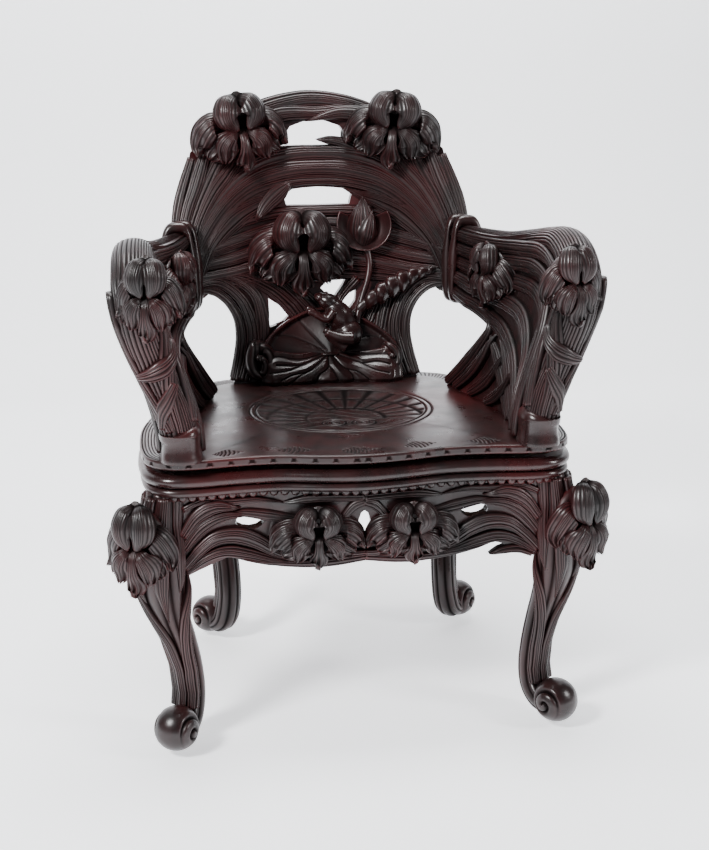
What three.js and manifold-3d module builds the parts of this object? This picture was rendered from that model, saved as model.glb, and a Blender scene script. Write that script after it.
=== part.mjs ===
// A carved hardwood armchair on a swivel base: iris flowers, long leaves, a lotus leaf and a frog.
// Millimetres, +Z up. The sitter faces -Y and +X is on a viewer's right. The origin is on the floor
// below the middle of the chair's box, MIDDLE_Y behind the middle of its feet.
import * as THREE from "three";
import { mergeVertices } from "three/addons/utils/BufferGeometryUtils.js";
import { TessellateModifier } from "three/addons/modifiers/TessellateModifier.js";
import Module from "manifold-3d";

// ---- Driving dimensions --------------------------------------------------
const MIDDLE_Y = 113;
const GAP = 0.3; // air left between two pieces of wood
const SLIVER = 0.03; // detail smaller than this is dropped after a cut
const TAU = 2 * Math.PI;

const SEAT_TOP = 440;
const SEAT_UNDER = 426;
const ROUNDEL = { y: 100, radius: 156, depth: 0.6 };

const DECK_TOP = 412;
const DECK_UNDER = 398;
const MOULDING_TOP = 417;
const MOULDING_UNDER = 381;
const LEG_TOP = MOULDING_UNDER - GAP;

const SWIVEL_Y = 60;
const PIN_RADIUS = 10;

const BACK_FOOT_Y = 335; // front face of the back where it meets the seat
const BACK_LEAN = 0.21;
const BACK_HOLLOW = 0.0008;
const BACK_THICK = 24;

const ARM_HEIGHTS = { low: 450, high: 700 };
const POST_Y = -155;
const TENON = { half: 12, depth: 9 };

const FRONT_BALL = { x: 294, y: -209, radius: 34 };
const BACK_BALL = { x: 231, y: 224, radius: 33 };

// ---- Solids --------------------------------------------------------------
const wasm = await Module();
wasm.setup();

/** A three.js geometry as a solid that can be joined and cut. */
function solid(geometry) {
  const plain = geometry.clone();
  plain.deleteAttribute("normal");
  plain.deleteAttribute("uv");
  const merged = mergeVertices(plain, 1e-4);
  const vertProperties = Float32Array.from(merged.attributes.position.array);
  const triVerts = Uint32Array.from(merged.index.array);
  return new wasm.Manifold(new wasm.Mesh({ numProp: 3, vertProperties, triVerts }));
}

/** A solid as a three.js geometry, moved from the feet's middle to the chair's origin. */
function geometryOf(body) {
  const mesh = body.getMesh();
  const geometry = new THREE.BufferGeometry();
  geometry.setAttribute("position", new THREE.BufferAttribute(mesh.vertProperties, 3));
  geometry.setIndex(new THREE.BufferAttribute(mesh.triVerts, 1));
  geometry.translate(0, -MIDDLE_Y, 0);
  geometry.computeVertexNormals();
  return geometry;
}

/** Six times the signed volume: negative when a mesh's faces point inward. */
function signedVolume(geometry) {
  const flat = geometry.index ? geometry.toNonIndexed() : geometry;
  const [a, b, c] = [new THREE.Vector3(), new THREE.Vector3(), new THREE.Vector3()];
  const corners = flat.attributes.position;
  let sum = 0;
  for (let i = 0; i < corners.count; i += 3) {
    a.fromBufferAttribute(corners, i);
    b.fromBufferAttribute(corners, i + 1);
    c.fromBufferAttribute(corners, i + 2);
    sum += a.dot(b.cross(c));
  }
  return sum;
}

/** The same mesh with every face pointing outward. */
function outward(geometry) {
  if (signedVolume(geometry) > 0) return geometry;
  const flat = geometry.index ? geometry.toNonIndexed() : geometry;
  const corners = flat.attributes.position;
  const kept = new THREE.Vector3();
  const moved = new THREE.Vector3();
  for (let i = 0; i < corners.count; i += 3) {
    kept.fromBufferAttribute(corners, i + 1);
    moved.fromBufferAttribute(corners, i + 2);
    corners.setXYZ(i + 1, ...moved);
    corners.setXYZ(i + 2, ...kept);
  }
  return flat;
}

/** Moves each vertex of a mesh to place(x, y, z). */
function reshaped(geometry, place) {
  const corners = geometry.attributes.position;
  for (let i = 0; i < corners.count; i++) {
    corners.setXYZ(i, ...place(corners.getX(i), corners.getY(i), corners.getZ(i)));
  }
  return solid(outward(geometry));
}

/** A closed tube. place(along, angle, reach) gives its points; reach is 0 at the end caps' middles. */
function tube(rings, sides, place) {
  return reshaped(new THREE.CylinderGeometry(1, 1, 1, sides, rings), (x, y, z) => {
    const step = (Math.round((Math.atan2(x, z) / TAU) * sides) + sides) % sides;
    const along = Math.round((0.5 - y) * rings) / rings;
    return place(along, (TAU * step) / sides, Math.round(Math.hypot(x, z)));
  });
}

/** A closed ball. place(x, y, z) gives each point from its direction. */
function lump(sides, rings, place) {
  return reshaped(new THREE.SphereGeometry(1, sides, rings), (x, y, z) => {
    const drop = (Math.PI * Math.round((Math.acos(THREE.MathUtils.clamp(y, -1, 1)) / Math.PI) * rings)) / rings;
    const step = (Math.round((Math.atan2(x, z) / TAU) * sides) + sides) % sides;
    const turn = (TAU * step) / sides;
    return place(Math.sin(drop) * Math.sin(turn), Math.cos(drop), Math.sin(drop) * Math.cos(turn));
  });
}

/** A flat outline given thickness and bent: place(u, v, side), with side 0 and 1 its two faces. */
function plate(points, place, longestEdge = 64) {
  const shape = new THREE.Shape(points);
  const flat = new THREE.ExtrudeGeometry(shape, { depth: 1, bevelEnabled: false });
  const fine = new TessellateModifier(longestEdge, 9).modify(flat);
  return reshaped(fine, (u, v, w) => place(u, v, Math.round(w)));
}

/** An upright cylinder from z = low to z = high. */
function disc(x, y, radius, low, high, sides = 32) {
  const round = new THREE.CylinderGeometry(radius, radius, high - low, sides);
  return solid(round.rotateX(Math.PI / 2).translate(x, y, (low + high) / 2));
}

/** A box given by its middle and its sizes. */
function block(middle, sizes) {
  return solid(new THREE.BoxGeometry(...sizes).translate(...middle));
}

/** A copy a little larger than a solid all round, so that a cut with it leaves a gap. */
function grown(body) {
  const corners = [
    [0, 0, 0],
    [GAP, GAP, GAP],
    [GAP, -GAP, -GAP],
    [-GAP, GAP, -GAP],
    [-GAP, -GAP, GAP],
  ];
  return wasm.Manifold.union(corners.map((corner) => body.translate(corner)));
}

const cutters = new Map();

/** A neighbour's grown copy, made once. */
function cutter(body) {
  if (!cutters.has(body)) cutters.set(body, grown(body));
  return cutters.get(body);
}

/** A solid cut clear of its neighbours. Only its largest part is kept, and slivers are tidied away. */
function clearOf(body, ...neighbours) {
  const cut = neighbours.reduce((rest, other) => rest.subtract(cutter(other)), body);
  const largest = cut.decompose().sort((a, b) => b.volume() - a.volume())[0];
  return largest.simplify(SLIVER);
}

/** The same solid on the chair's other side. */
const mirrored = (body) => body.mirror([1, 0, 0]);

// ---- Curves --------------------------------------------------------------
/** Points on a smooth curve through a run of [u, v] pairs, without its last point. */
function smooth(run, perStep) {
  const curve = new THREE.SplineCurve(run.map((pair) => new THREE.Vector2(...pair)));
  return curve.getPoints((run.length - 1) * perStep).slice(0, -1);
}

/** Rounds to a sixteenth, so that halved edges stay exact and both sides of a seam agree. */
const snap = (value) => Math.round(value * 16) / 16;

/** A closed outline of smooth runs that meet at corners. */
function outline(runs, perStep = 2) {
  const points = runs.flatMap((run) => smooth(run, perStep));
  return points.map((point) => new THREE.Vector2(snap(point.x), snap(point.y)));
}

/** The outline's runs with their mirror images, for a shape that is alike on both sides. */
function bothSides(runs) {
  const left = runs.map((run) => run.map(([u, v]) => [-u, v]).reverse()).reverse();
  return [...runs, ...left];
}

/** A smooth function through [at, value] pairs. */
function profile(pairs) {
  const curve = new THREE.SplineCurve(pairs.map((pair) => new THREE.Vector2(...pair)));
  return (at) => curve.getPoint(at).y;
}

/** A bar along a smooth path of [x, y, z, half width, half depth] stations. */
function limb(stations, across, rings, sides = 10) {
  const path = new THREE.CatmullRomCurve3(stations.map(([x, y, z]) => new THREE.Vector3(x, y, z)));
  const halfWidth = profile(stations.map((station, i) => [i, station[3]]));
  const halfDepth = profile(stations.map((station, i) => [i, station[4]]));
  return tube(rings, sides, (along, angle, reach) => {
    const tangent = path.getTangent(along);
    const wide = across.clone().addScaledVector(tangent, -across.dot(tangent)).normalize();
    const deep = new THREE.Vector3().crossVectors(tangent, wide);
    return path
      .getPoint(along)
      .addScaledVector(wide, reach * halfWidth(along) * Math.cos(angle))
      .addScaledVector(deep, reach * halfDepth(along) * Math.sin(angle));
  });
}

/** Turns a shape that faces -Y, then moves it. Turn is to the viewer's right, tilt is upward. */
function posed(body, at, turn = 0, tilt = 0, roll = 0) {
  const degrees = 180 / Math.PI;
  return body
    .rotate([0, roll * degrees, 0])
    .rotate([-tilt * degrees, 0, 0])
    .rotate([0, 0, turn * degrees])
    .translate(at);
}

// ---- Flowers and creatures -----------------------------------------------
/** An iris that faces -Y: a lobed dome with a broad lower fall. */
function iris(halfWidth, halfHeight, depth, behind = 6) {
  return lump(16, 8, (x, y, z) => {
    const angle = Math.atan2(x, z);
    const lobes = 0.86 + 0.14 * Math.cos(5 * angle + Math.PI);
    const swell = 1 + 0.25 * Math.hypot(x, z) * Math.cos(3 * angle);
    return [halfWidth * lobes * x, y > 0 ? -depth * swell * y : -behind * y, halfHeight * lobes * z];
  });
}

/** A plain egg, rolled in the plane that faces -Y. */
function egg(at, radii, roll = 0, sides = 12) {
  const ball = lump(sides, 6, (x, y, z) => [radii[0] * x, radii[1] * y, radii[2] * z]);
  return posed(ball, at, 0, 0, roll);
}

/** The front face of the leaning, hollow back. */
const backFace = (x, z) => BACK_FOOT_Y + BACK_LEAN * (z - SEAT_TOP) - BACK_HOLLOW * x * x;

/** A point on the back, so far behind its front face. */
const onBack = (x, z, depth) => [x, backFace(x, z) + depth, z];

/** A board of the back, from one depth behind its front face to another. */
const backBoard = (runs, front, rear) =>
  plate(outline(runs), (x, z, side) => onBack(x, z, side ? rear : front));

const STILE_X = 132;
const STILE_Y = backFace(STILE_X, SEAT_TOP) + BACK_THICK / 2;

// ---- Seat and base -------------------------------------------------------
/** The seat's rim, seen from above: a serpentine front, full sides and a curved back. */
function seatRim() {
  const half = [
    [60, -185],
    [125, -171],
    [190, -172],
    [250, -179],
    [292, -174],
    [319, -145],
    [329, -100],
    [332, -40],
    [330, 20],
    [320, 80],
    [300, 150],
    [272, 220],
    [245, 290],
    [214, 336],
    [150, 362],
    [75, 371],
  ];
  const left = half.map(([x, y]) => [-x, y]).reverse();
  const points = [[0, -191], ...half, [0, 373], ...left];
  const corners = points.map(([x, y]) => new THREE.Vector3(x, y, 0));
  return new THREE.CatmullRomCurve3(corners, true, "centripetal");
}

const rim = seatRim();

/** A point so far inside the seat's rim; share runs once round it from the front's middle. */
function insideRim(share, inset) {
  const tangent = rim.getTangentAt((share + 1) % 1);
  const inward = new THREE.Vector3(-tangent.y, tangent.x, 0);
  return rim.getPointAt((share + 1) % 1).addScaledVector(inward, inset);
}

/** The seat's rim as a flat shape, moved inward. */
function rimShape(inset, count) {
  const shares = Array.from({ length: count }, (_, i) => i / count);
  return new THREE.Shape(shares.map((share) => insideRim(share, inset)).map((p) => new THREE.Vector2(p.x, p.y)));
}

function seatBoard() {
  const bevel = 4;
  const thick = SEAT_TOP - SEAT_UNDER;
  const settings = { depth: thick - 2 * bevel, bevelThickness: bevel, bevelSize: bevel, bevelSegments: 1 };
  const slab = new THREE.ExtrudeGeometry(rimShape(bevel, 64), settings).translate(0, 0, SEAT_UNDER + bevel);
  const roundel = disc(0, ROUNDEL.y, ROUNDEL.radius, SEAT_TOP - ROUNDEL.depth, SEAT_TOP + 5, 40);
  const mortises = [-1, 1].flatMap((side) => [
    tenon(side * 268, POST_Y, TENON.half, GAP),
    tenon(side * STILE_X, STILE_Y, 8, GAP),
  ]);
  return mortises.reduce((board, mortise) => board.subtract(mortise), solid(slab).subtract(roundel));
}

/** A square tenon that stands in the seat, or with room all round it, its mortise. */
function tenon(x, y, half, room = 0) {
  const height = TENON.depth + 8 + 2 * room;
  return block([x, y, SEAT_TOP + 4 - TENON.depth / 2], [2 * (half + room), 2 * (half + room), height]);
}

/** One stretch of the moulding under the seat: a torus over a flat band. */
function moulding(from, to, steps) {
  const section = [
    [7, MOULDING_UNDER],
    [5, 397],
    [1, 400],
    [-1, 407],
    [1, 414],
    [6, MOULDING_TOP],
    [24, MOULDING_TOP],
    [24, MOULDING_UNDER],
  ];
  const shape = new THREE.Shape(section.map((pair) => new THREE.Vector2(...pair)));
  const bar = new THREE.ExtrudeGeometry(shape, { depth: 1, steps, bevelEnabled: false });
  return reshaped(bar, (inset, z, along) => {
    const share = from + (to - from) * (Math.round(along * steps) / steps);
    const point = insideRim(share, inset);
    return [point.x, point.y, z];
  });
}

function baseDeck() {
  const settings = { depth: DECK_TOP - DECK_UNDER, bevelEnabled: false };
  const board = new THREE.ExtrudeGeometry(rimShape(25, 40), settings).translate(0, 0, DECK_UNDER);
  return solid(board).subtract(disc(0, SWIVEL_Y, PIN_RADIUS + 2, 300, 500));
}

/** A strip under the moulding, pierced if holes are given. */
function apron(runs, place, holes = []) {
  const shape = plate(outline(runs), place);
  return holes.reduce((strip, hole) => strip.subtract(hole), shape);
}

function frontApron() {
  const front = profile([[0, -171], [1, -168], [2, -156], [3, -158], [4, -160]]);
  const face = (x) => front(Math.min(1, Math.abs(x) / 272));
  const lower = [
    [272, 254],
    [232, 272],
    [190, 285],
    [140, 273],
    [85, 262],
    [35, 264],
    [0, 272],
  ];
  const runs = bothSides([[[0, LEG_TOP], [272, LEG_TOP]], [[272, LEG_TOP], [272, 254]], lower]);
  const holes = [-172, 0, 172].map((x) =>
    x ? egg([x, -150, 336], [22, 60, 13]) : egg([0, -150, 320], [11, 60, 32]),
  );
  return apron(runs, (x, z, side) => [x, face(x) + 22 * side, z], holes);
}

/** A side's apron, from the front leg to the back leg. */
function sideApron() {
  const lower = [
    [330, 268],
    [270, 290],
    [165, 306],
    [60, 290],
    [0, 268],
  ];
  const runs = [[[0, LEG_TOP], [330, LEG_TOP]], [[330, LEG_TOP], [330, 268]], lower, [[0, 268], [0, LEG_TOP]]];
  return apron(runs, (u, z, side) => {
    const bow = 10 * Math.sin((Math.PI * u) / 330);
    return [308 - 0.19 * u + bow - 20 * side, -106 + u, z];
  });
}

function backApron() {
  const lower = [
    [214, 268],
    [150, 292],
    [60, 303],
    [0, 305],
  ];
  const runs = bothSides([[[0, LEG_TOP], [214, LEG_TOP]], [[214, LEG_TOP], [214, 268]], lower]);
  return apron(runs, (x, z, side) => [x, 292 - 0.0004 * x * x - 20 * side, z]);
}

// ---- Legs ----------------------------------------------------------------
function frontLeg() {
  const stations = [
    [297, -142, 390, 30, 24],
    [304, -143, 340, 33, 26],
    [309, -146, 290, 44, 28],
    [307, -148, 240, 46, 28],
    [297, -150, 195, 36, 26],
    [283, -152, 152, 28, 24],
    [274, -152, 112, 25, 22],
    [271, -151, 72, 25, 22],
    [275, -158, 36, 25, 23],
    [284, -186, 24, 24, 20],
  ];
  const shaft = limb(stations, new THREE.Vector3(0.84, 0.54, 0), 16);
  return foot(shaft, FRONT_BALL);
}

function backLeg() {
  const stations = [
    [224, 258, 390, 28, 24],
    [231, 258, 330, 30, 25],
    [228, 250, 280, 28, 24],
    [213, 232, 220, 25, 22],
    [199, 206, 150, 23, 20],
    [196, 188, 90, 23, 20],
    [203, 190, 40, 24, 21],
    [219, 208, 24, 23, 19],
  ];
  const shaft = limb(stations, new THREE.Vector3(0.8, -0.6, 0), 14);
  return foot(shaft, BACK_BALL);
}

/** Joins a leg's shaft to the ball of its scroll, and levels it at the floor and under the moulding. */
function foot(shaft, ball) {
  const scroll = egg([ball.x, ball.y, ball.radius - 1], [ball.radius, ball.radius, ball.radius]);
  const floor = block([0, 0, -100], [2000, 2000, 200]);
  const above = block([0, 0, LEG_TOP + 100], [2000, 2000, 200]);
  return shaft.add(scroll).subtract(floor).subtract(above);
}

// ---- Swivel --------------------------------------------------------------
const ring = (outer, inner, low, high, sides = 32) =>
  disc(0, SWIVEL_Y, outer, low, high, sides).subtract(disc(0, SWIVEL_Y, inner, low - 5, high + 5));

const swivelLowerPlate = () =>
  block([0, SWIVEL_Y, 414.3], [190, 190, 4]).subtract(disc(0, SWIVEL_Y, PIN_RADIUS + 0.06, 400, 420));

// ---- Back ----------------------------------------------------------------
const archRuns = bothSides([
  [[0, 858], [52, 858], [100, 853], [150, 843], [190, 838], [226, 834]],
  [[226, 834], [240, 796], [253, 760], [264, 723], [266, 680], [258, 630], [244, 590]],
  [[244, 590], [224, 594], [206, 604], [193, 640], [180, 684], [152, 729], [105, 763], [60, 779], [0, 784]],
]);

const crestRuns = bothSides([
  [[0, 956], [50, 949], [98, 929], [150, 905], [200, 878], [230, 850]],
  [[230, 850], [228, 835], [190, 838.5], [150, 843.5], [100, 853.5], [60, 859]],
  [[60, 859], [52, 875], [46, 892], [0, 906]],
]);

const boardRuns = bothSides([
  [[0, 751], [58, 752]],
  [[58, 752], [74, 786], [120, 770], [168, 730], [192, 690], [204, 640], [210, 606]],
  [[210, 606], [178, 602], [140, 612], [100, 622], [50, 617], [0, 614]],
]);

const stileRuns = [
  [[214, 604], [180, 590], [148, 562], [138, 530], [146, 490], [170, 440.4]],
  [[170, 440.4], [104, 440.4]],
  [[104, 440.4], [102, 500], [98, 560], [102, 606], [120, 616], [170, 606], [214, 604]],
];

const lotusRuns = bothSides([
  [[0, 556], [50, 552], [96, 534], [126, 512], [138, 488], [138, 462], [132, 440.5]],
  [[132, 440.5], [0, 440.5]],
]);

const fanRuns = bothSides([
  [[0, 632], [110, 632]],
  [[110, 632], [110, 490]],
  [[110, 490], [0, 490]],
]);

const fanHoles = [
  [[[-130, 592], [-98, 587], [-62, 555], [-95, 536], [-130, 540]], [[-130, 540], [-130, 592]]],
  [[[-1, 602], [28, 632]], [[28, 632], [54, 632]], [[54, 632], [24, 585], [-1, 602]]],
  [[[33, 581], [64, 598]], [[64, 598], [62, 578], [49, 562]], [[49, 562], [33, 581]]],
];

/** Everything from just before the boards' front faces backward, to cut the backs of the ornaments. */
function wall() {
  const corners = [[-280, 430], [280, 430], [280, 970], [-280, 970]];
  const sheet = corners.map(([x, z]) => new THREE.Vector2(x, z));
  return plate(sheet, (x, z, side) => onBack(x, z, side ? 90 : -0.9), 32);
}

function lowerStile() {
  const board = backBoard(stileRuns, 0, BACK_THICK);
  return board.add(tenon(STILE_X, STILE_Y, 8));
}

/** Leaves that sweep from the straps down behind the frog, with small holes between them. */
function leafFan() {
  const sheet = backBoard(fanRuns, 1, 18);
  return fanHoles.reduce((rest, hole) => rest.subtract(backBoard(hole, -30, 60)), sheet);
}

function frog() {
  const parts = [
    egg(onBack(22, 540, -26), [27, 17, 38], -0.7, 8),
    egg(onBack(-8, 571, -28), [24, 15, 14], 0.35, 8),
    egg(onBack(36, 523, -24), [24, 18, 20], 0, 8),
    egg(onBack(-2, 528, -30), [8, 9, 26], 0.25, 8),
    egg(onBack(20, 508, -30), [28, 10, 9], 0, 8),
  ];
  return parts.reduce((sum, part) => sum.add(part));
}

/** The lotus bud in its round leaf, on a stem down to the lotus leaf. */
function bud() {
  const stations = [
    [...onBack(84, 690, -18), 6, 6],
    [...onBack(89, 650, -18), 6, 6],
    [...onBack(82, 612, -20), 6, 6],
    [...onBack(70, 575, -22), 6, 6],
    [...onBack(60, 545, -24), 6, 6],
  ];
  const stem = limb(stations, new THREE.Vector3(1, 0, 0), 6, 6);
  return egg(onBack(79, 716, -14), [47, 22, 47]).add(stem);
}

function furledLeaf() {
  const stations = [
    [...onBack(208, 637, -10), 3, 3],
    [...onBack(186, 631, -14), 11, 9],
    [...onBack(158, 622, -17), 16, 13],
    [...onBack(128, 606, -19), 17, 14],
    [...onBack(100, 590, -20), 14, 12],
    [...onBack(76, 574, -22), 9, 9],
    [...onBack(58, 558, -22), 4, 4],
  ];
  return limb(stations, new THREE.Vector3(0, 0, 1), 10, 8);
}

// ---- Arms ----------------------------------------------------------------
/** The arm's middle plane: upright at the seat and flared outward at elbow height. */
function armX(y, z) {
  const low = 268 - 0.0008 * Math.min(Math.max(0, y + 20), 245) ** 2;
  const high = 325 - 0.00049 * Math.max(0, y + 60) ** 2;
  const flare = THREE.MathUtils.smoothstep(z, ARM_HEIGHTS.low, ARM_HEIGHTS.high);
  return THREE.MathUtils.lerp(low, high, flare);
}

/** Half the arm's thickness: stout at the post and the top rail, thin between them. */
function armHalf(y, z) {
  const post = 1 - THREE.MathUtils.smoothstep(y, -130, -70);
  const top = THREE.MathUtils.smoothstep(z, 650, 700) * (1 - THREE.MathUtils.smoothstep(y, 200, 330));
  return 12 + 11 * Math.max(post, top);
}

const armRuns = [
  [[345, 716], [260, 712], [160, 714], [60, 726], [-28, 738], [-95, 744], [-145, 728], [-182, 690]],
  [[-182, 690], [-190, 650], [-180, 600], [-172, 540], [-178, 480], [-184, 440.4]],
  [[-184, 440.4], [228, 440.4]],
  [[228, 440.4], [208, 458], [168, 500], [134, 540], [126, 560]],
  [[126, 560], [160, 572], [240, 580], [345, 596]],
  [[345, 596], [345, 716]],
];

function arm() {
  const panel = plate(outline(armRuns), (y, z, side) => {
    const offset = armHalf(y, z) * (side ? 1 : -1);
    return [armX(y, z) + offset, y, z];
  });
  return panel.add(tenon(268, POST_Y, TENON.half));
}

// ---- Assembly ------------------------------------------------------------
const chair = new THREE.Group();
chair.name = "carved_armchair";

/** Adds one named piece with a wood or iron material of its own. */
function add(name, body, colour = 0x32120f, roughness = 0.42, metalness = 0) {
  const material = new THREE.MeshStandardMaterial({ color: colour, roughness, metalness });
  const mesh = new THREE.Mesh(geometryOf(body), material);
  mesh.name = name;
  chair.add(mesh);
}

/** Adds a right-hand piece and its mirror image, each cut clear of its neighbours. */
function addPair(name, body, ...neighbours) {
  const pair = [body, mirrored(body)].map((half) => clearOf(half, ...neighbours));
  add(`${name}_right`, pair[0]);
  add(`${name}_left`, pair[1]);
  return pair;
}

function addIron(name, body) {
  add(name, body, 0x2c2a28, 0.5, 0.9);
}

function addBase() {
  const legs = [...addPair("leg_front", frontLeg()), ...addPair("leg_back", backLeg())];
  addPair("knee_iris", posed(iris(44, 65, 26, 18), [330, -166, 312], 0.52), ...legs);

  const front = clearOf(frontApron(), ...legs);
  add("apron_front", front);
  addPair("apron_iris", posed(iris(56, 47, 14, 6), [76, -168, 318]), front);
  const sides = addPair("apron_side", sideApron(), ...legs, front);
  const back = clearOf(backApron(), ...legs, ...sides);
  add("apron_back", back);

  const frame = [...legs, ...sides, front, back];
  addPair("corner_block_front", block([258, -98, 348], [30, 26, 50]), ...frame);
  addPair("corner_block_back", block([190, 222, 348], [26, 30, 50]), ...frame);

  const seam = 0.0006;
  const mouldings = {
    front: moulding(-0.16 + seam, 0.16 - seam, 24),
    right: moulding(0.16 + seam, 0.36 - seam, 10),
    back: moulding(0.36 + seam, 0.64 - seam, 14),
    left: moulding(0.64 + seam, 0.84 - seam, 10),
  };
  for (const [side, strip] of Object.entries(mouldings)) add(`moulding_${side}`, strip);
  add("base_deck", clearOf(baseDeck(), ...Object.values(mouldings)));
}

function addSwivel() {
  addIron("swivel_lower_plate", swivelLowerPlate());
  addIron("swivel_washer", ring(30, PIN_RADIUS + 0.3, 416.6, 418.1));
  addIron("swivel_upper_plate", ring(85, PIN_RADIUS + 0.3, 418.4, 425.7));
  addIron("swivel_pin", disc(0, SWIVEL_Y, PIN_RADIUS, 380, 425.6));
  addIron("swivel_nut", ring(19, PIN_RADIUS + 0.3, 386, DECK_UNDER - GAP, 6));
}

function addBack() {
  const arch = backBoard(archRuns, 0, BACK_THICK);
  const board = clearOf(backBoard(boardRuns, 0, BACK_THICK - 2), arch);
  const crest = clearOf(backBoard(crestRuns, 0, BACK_THICK + 2), arch);
  add("back_arch", arch);
  add("centre_board", board);
  add("crest_rail", crest);
  const stiles = addPair("lower_stile", lowerStile(), arch, board);

  const relief = (body) => body.subtract(wall());
  const lotus = clearOf(backBoard(lotusRuns, -24, 14), ...stiles);
  const creature = clearOf(relief(frog()), lotus);
  const bloom = clearOf(relief(posed(iris(90, 75, 34, 10), onBack(-44, 674, 0))), creature);
  const flowerBud = clearOf(relief(bud()), bloom, lotus, creature);
  add("leaf_fan", clearOf(leafFan(), arch, board, ...stiles, lotus));
  add("lotus_leaf", lotus);
  add("frog", creature);
  add("centre_iris", bloom);
  add("iris_bud", flowerBud);
  add("furled_leaf", clearOf(relief(furledLeaf()), flowerBud, lotus, creature));
  addPair("crest_iris", relief(posed(iris(86, 68, 34, 10), onBack(144, 882, 0), -0.2)));
  return [arch, board, crest, ...stiles];
}

function addArms(boards) {
  const arms = addPair("arm", arm(), ...boards);
  addPair("arm_iris", posed(iris(44, 62, 24, 16), [322, -176, 668], 0.5, 0.1), ...arms);
  addPair("arm_side_iris", posed(iris(40, 56, 18, 14), [284, 130, 645], -1.25), ...arms);
}

addBase();
addSwivel();
add("seat_board", seatBoard());
addArms(addBack());

export default chair;
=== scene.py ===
"""A carved hardwood armchair in a pale studio. Metres in the scene; the carving is laid out in millimetres.

The chair's own frame stands on the floor, +Z up, the sitter facing -Y. Everything made here is laid out
in it and then shifted by -MIDDLE_Y along Y, as the CAD part is. Right-hand pieces are mirrored for the left.
"""

import math

import bmesh
import bpy
import numpy as np
from mathutils import Matrix, Vector


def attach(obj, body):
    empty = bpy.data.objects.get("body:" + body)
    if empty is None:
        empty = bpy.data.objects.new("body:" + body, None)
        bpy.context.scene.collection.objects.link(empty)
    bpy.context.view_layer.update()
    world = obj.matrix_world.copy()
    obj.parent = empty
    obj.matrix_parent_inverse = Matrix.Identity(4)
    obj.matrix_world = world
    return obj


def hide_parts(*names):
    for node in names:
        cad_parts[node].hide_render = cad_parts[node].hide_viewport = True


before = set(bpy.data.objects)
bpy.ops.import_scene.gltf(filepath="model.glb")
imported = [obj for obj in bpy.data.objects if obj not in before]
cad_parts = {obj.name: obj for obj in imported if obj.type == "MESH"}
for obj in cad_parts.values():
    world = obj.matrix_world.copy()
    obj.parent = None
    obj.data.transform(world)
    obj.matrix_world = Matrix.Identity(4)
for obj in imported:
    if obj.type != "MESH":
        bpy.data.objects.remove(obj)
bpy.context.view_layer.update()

# ---- Driving dimensions, in millimetres ------------------------------------
MIDDLE_Y = 113
SEAT_TOP = 440
ROUNDEL_Y = 100
ROUNDEL_RADIUS = 156
BACK_FOOT_Y = 335
BACK_LEAN = 0.21
BACK_HOLLOW = 0.0008
BACK_THICK = 24
PETAL_THICK = 4.0
STRAP_Z = 657
STRAP_HALF_HEIGHT = 69
STRAP_HALF_WIDTH = 24
FRONT_BALL = (294, -209, 33.5, 34)
BACK_BALL = (231, 224, 32.5, 33)
TAU = 2 * math.pi

# The camera: yaw, pitch and roll in degrees, and its place in metres in the chair's own frame.
CAMERA_ANGLES = (7.71, 14.89, -0.66)
CAMERA_PLACE = (-0.262, -2.005, 0.974)
CAMERA_LENS = 55.06

# Whether a leaf narrows to a tip at its start and at its end.
BLUNT = (False, False)
TIP_FIRST = (True, False)
TIP_LAST = (False, True)
TWO_TIPS = (True, True)
SIDES = ("left", "right")


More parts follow.
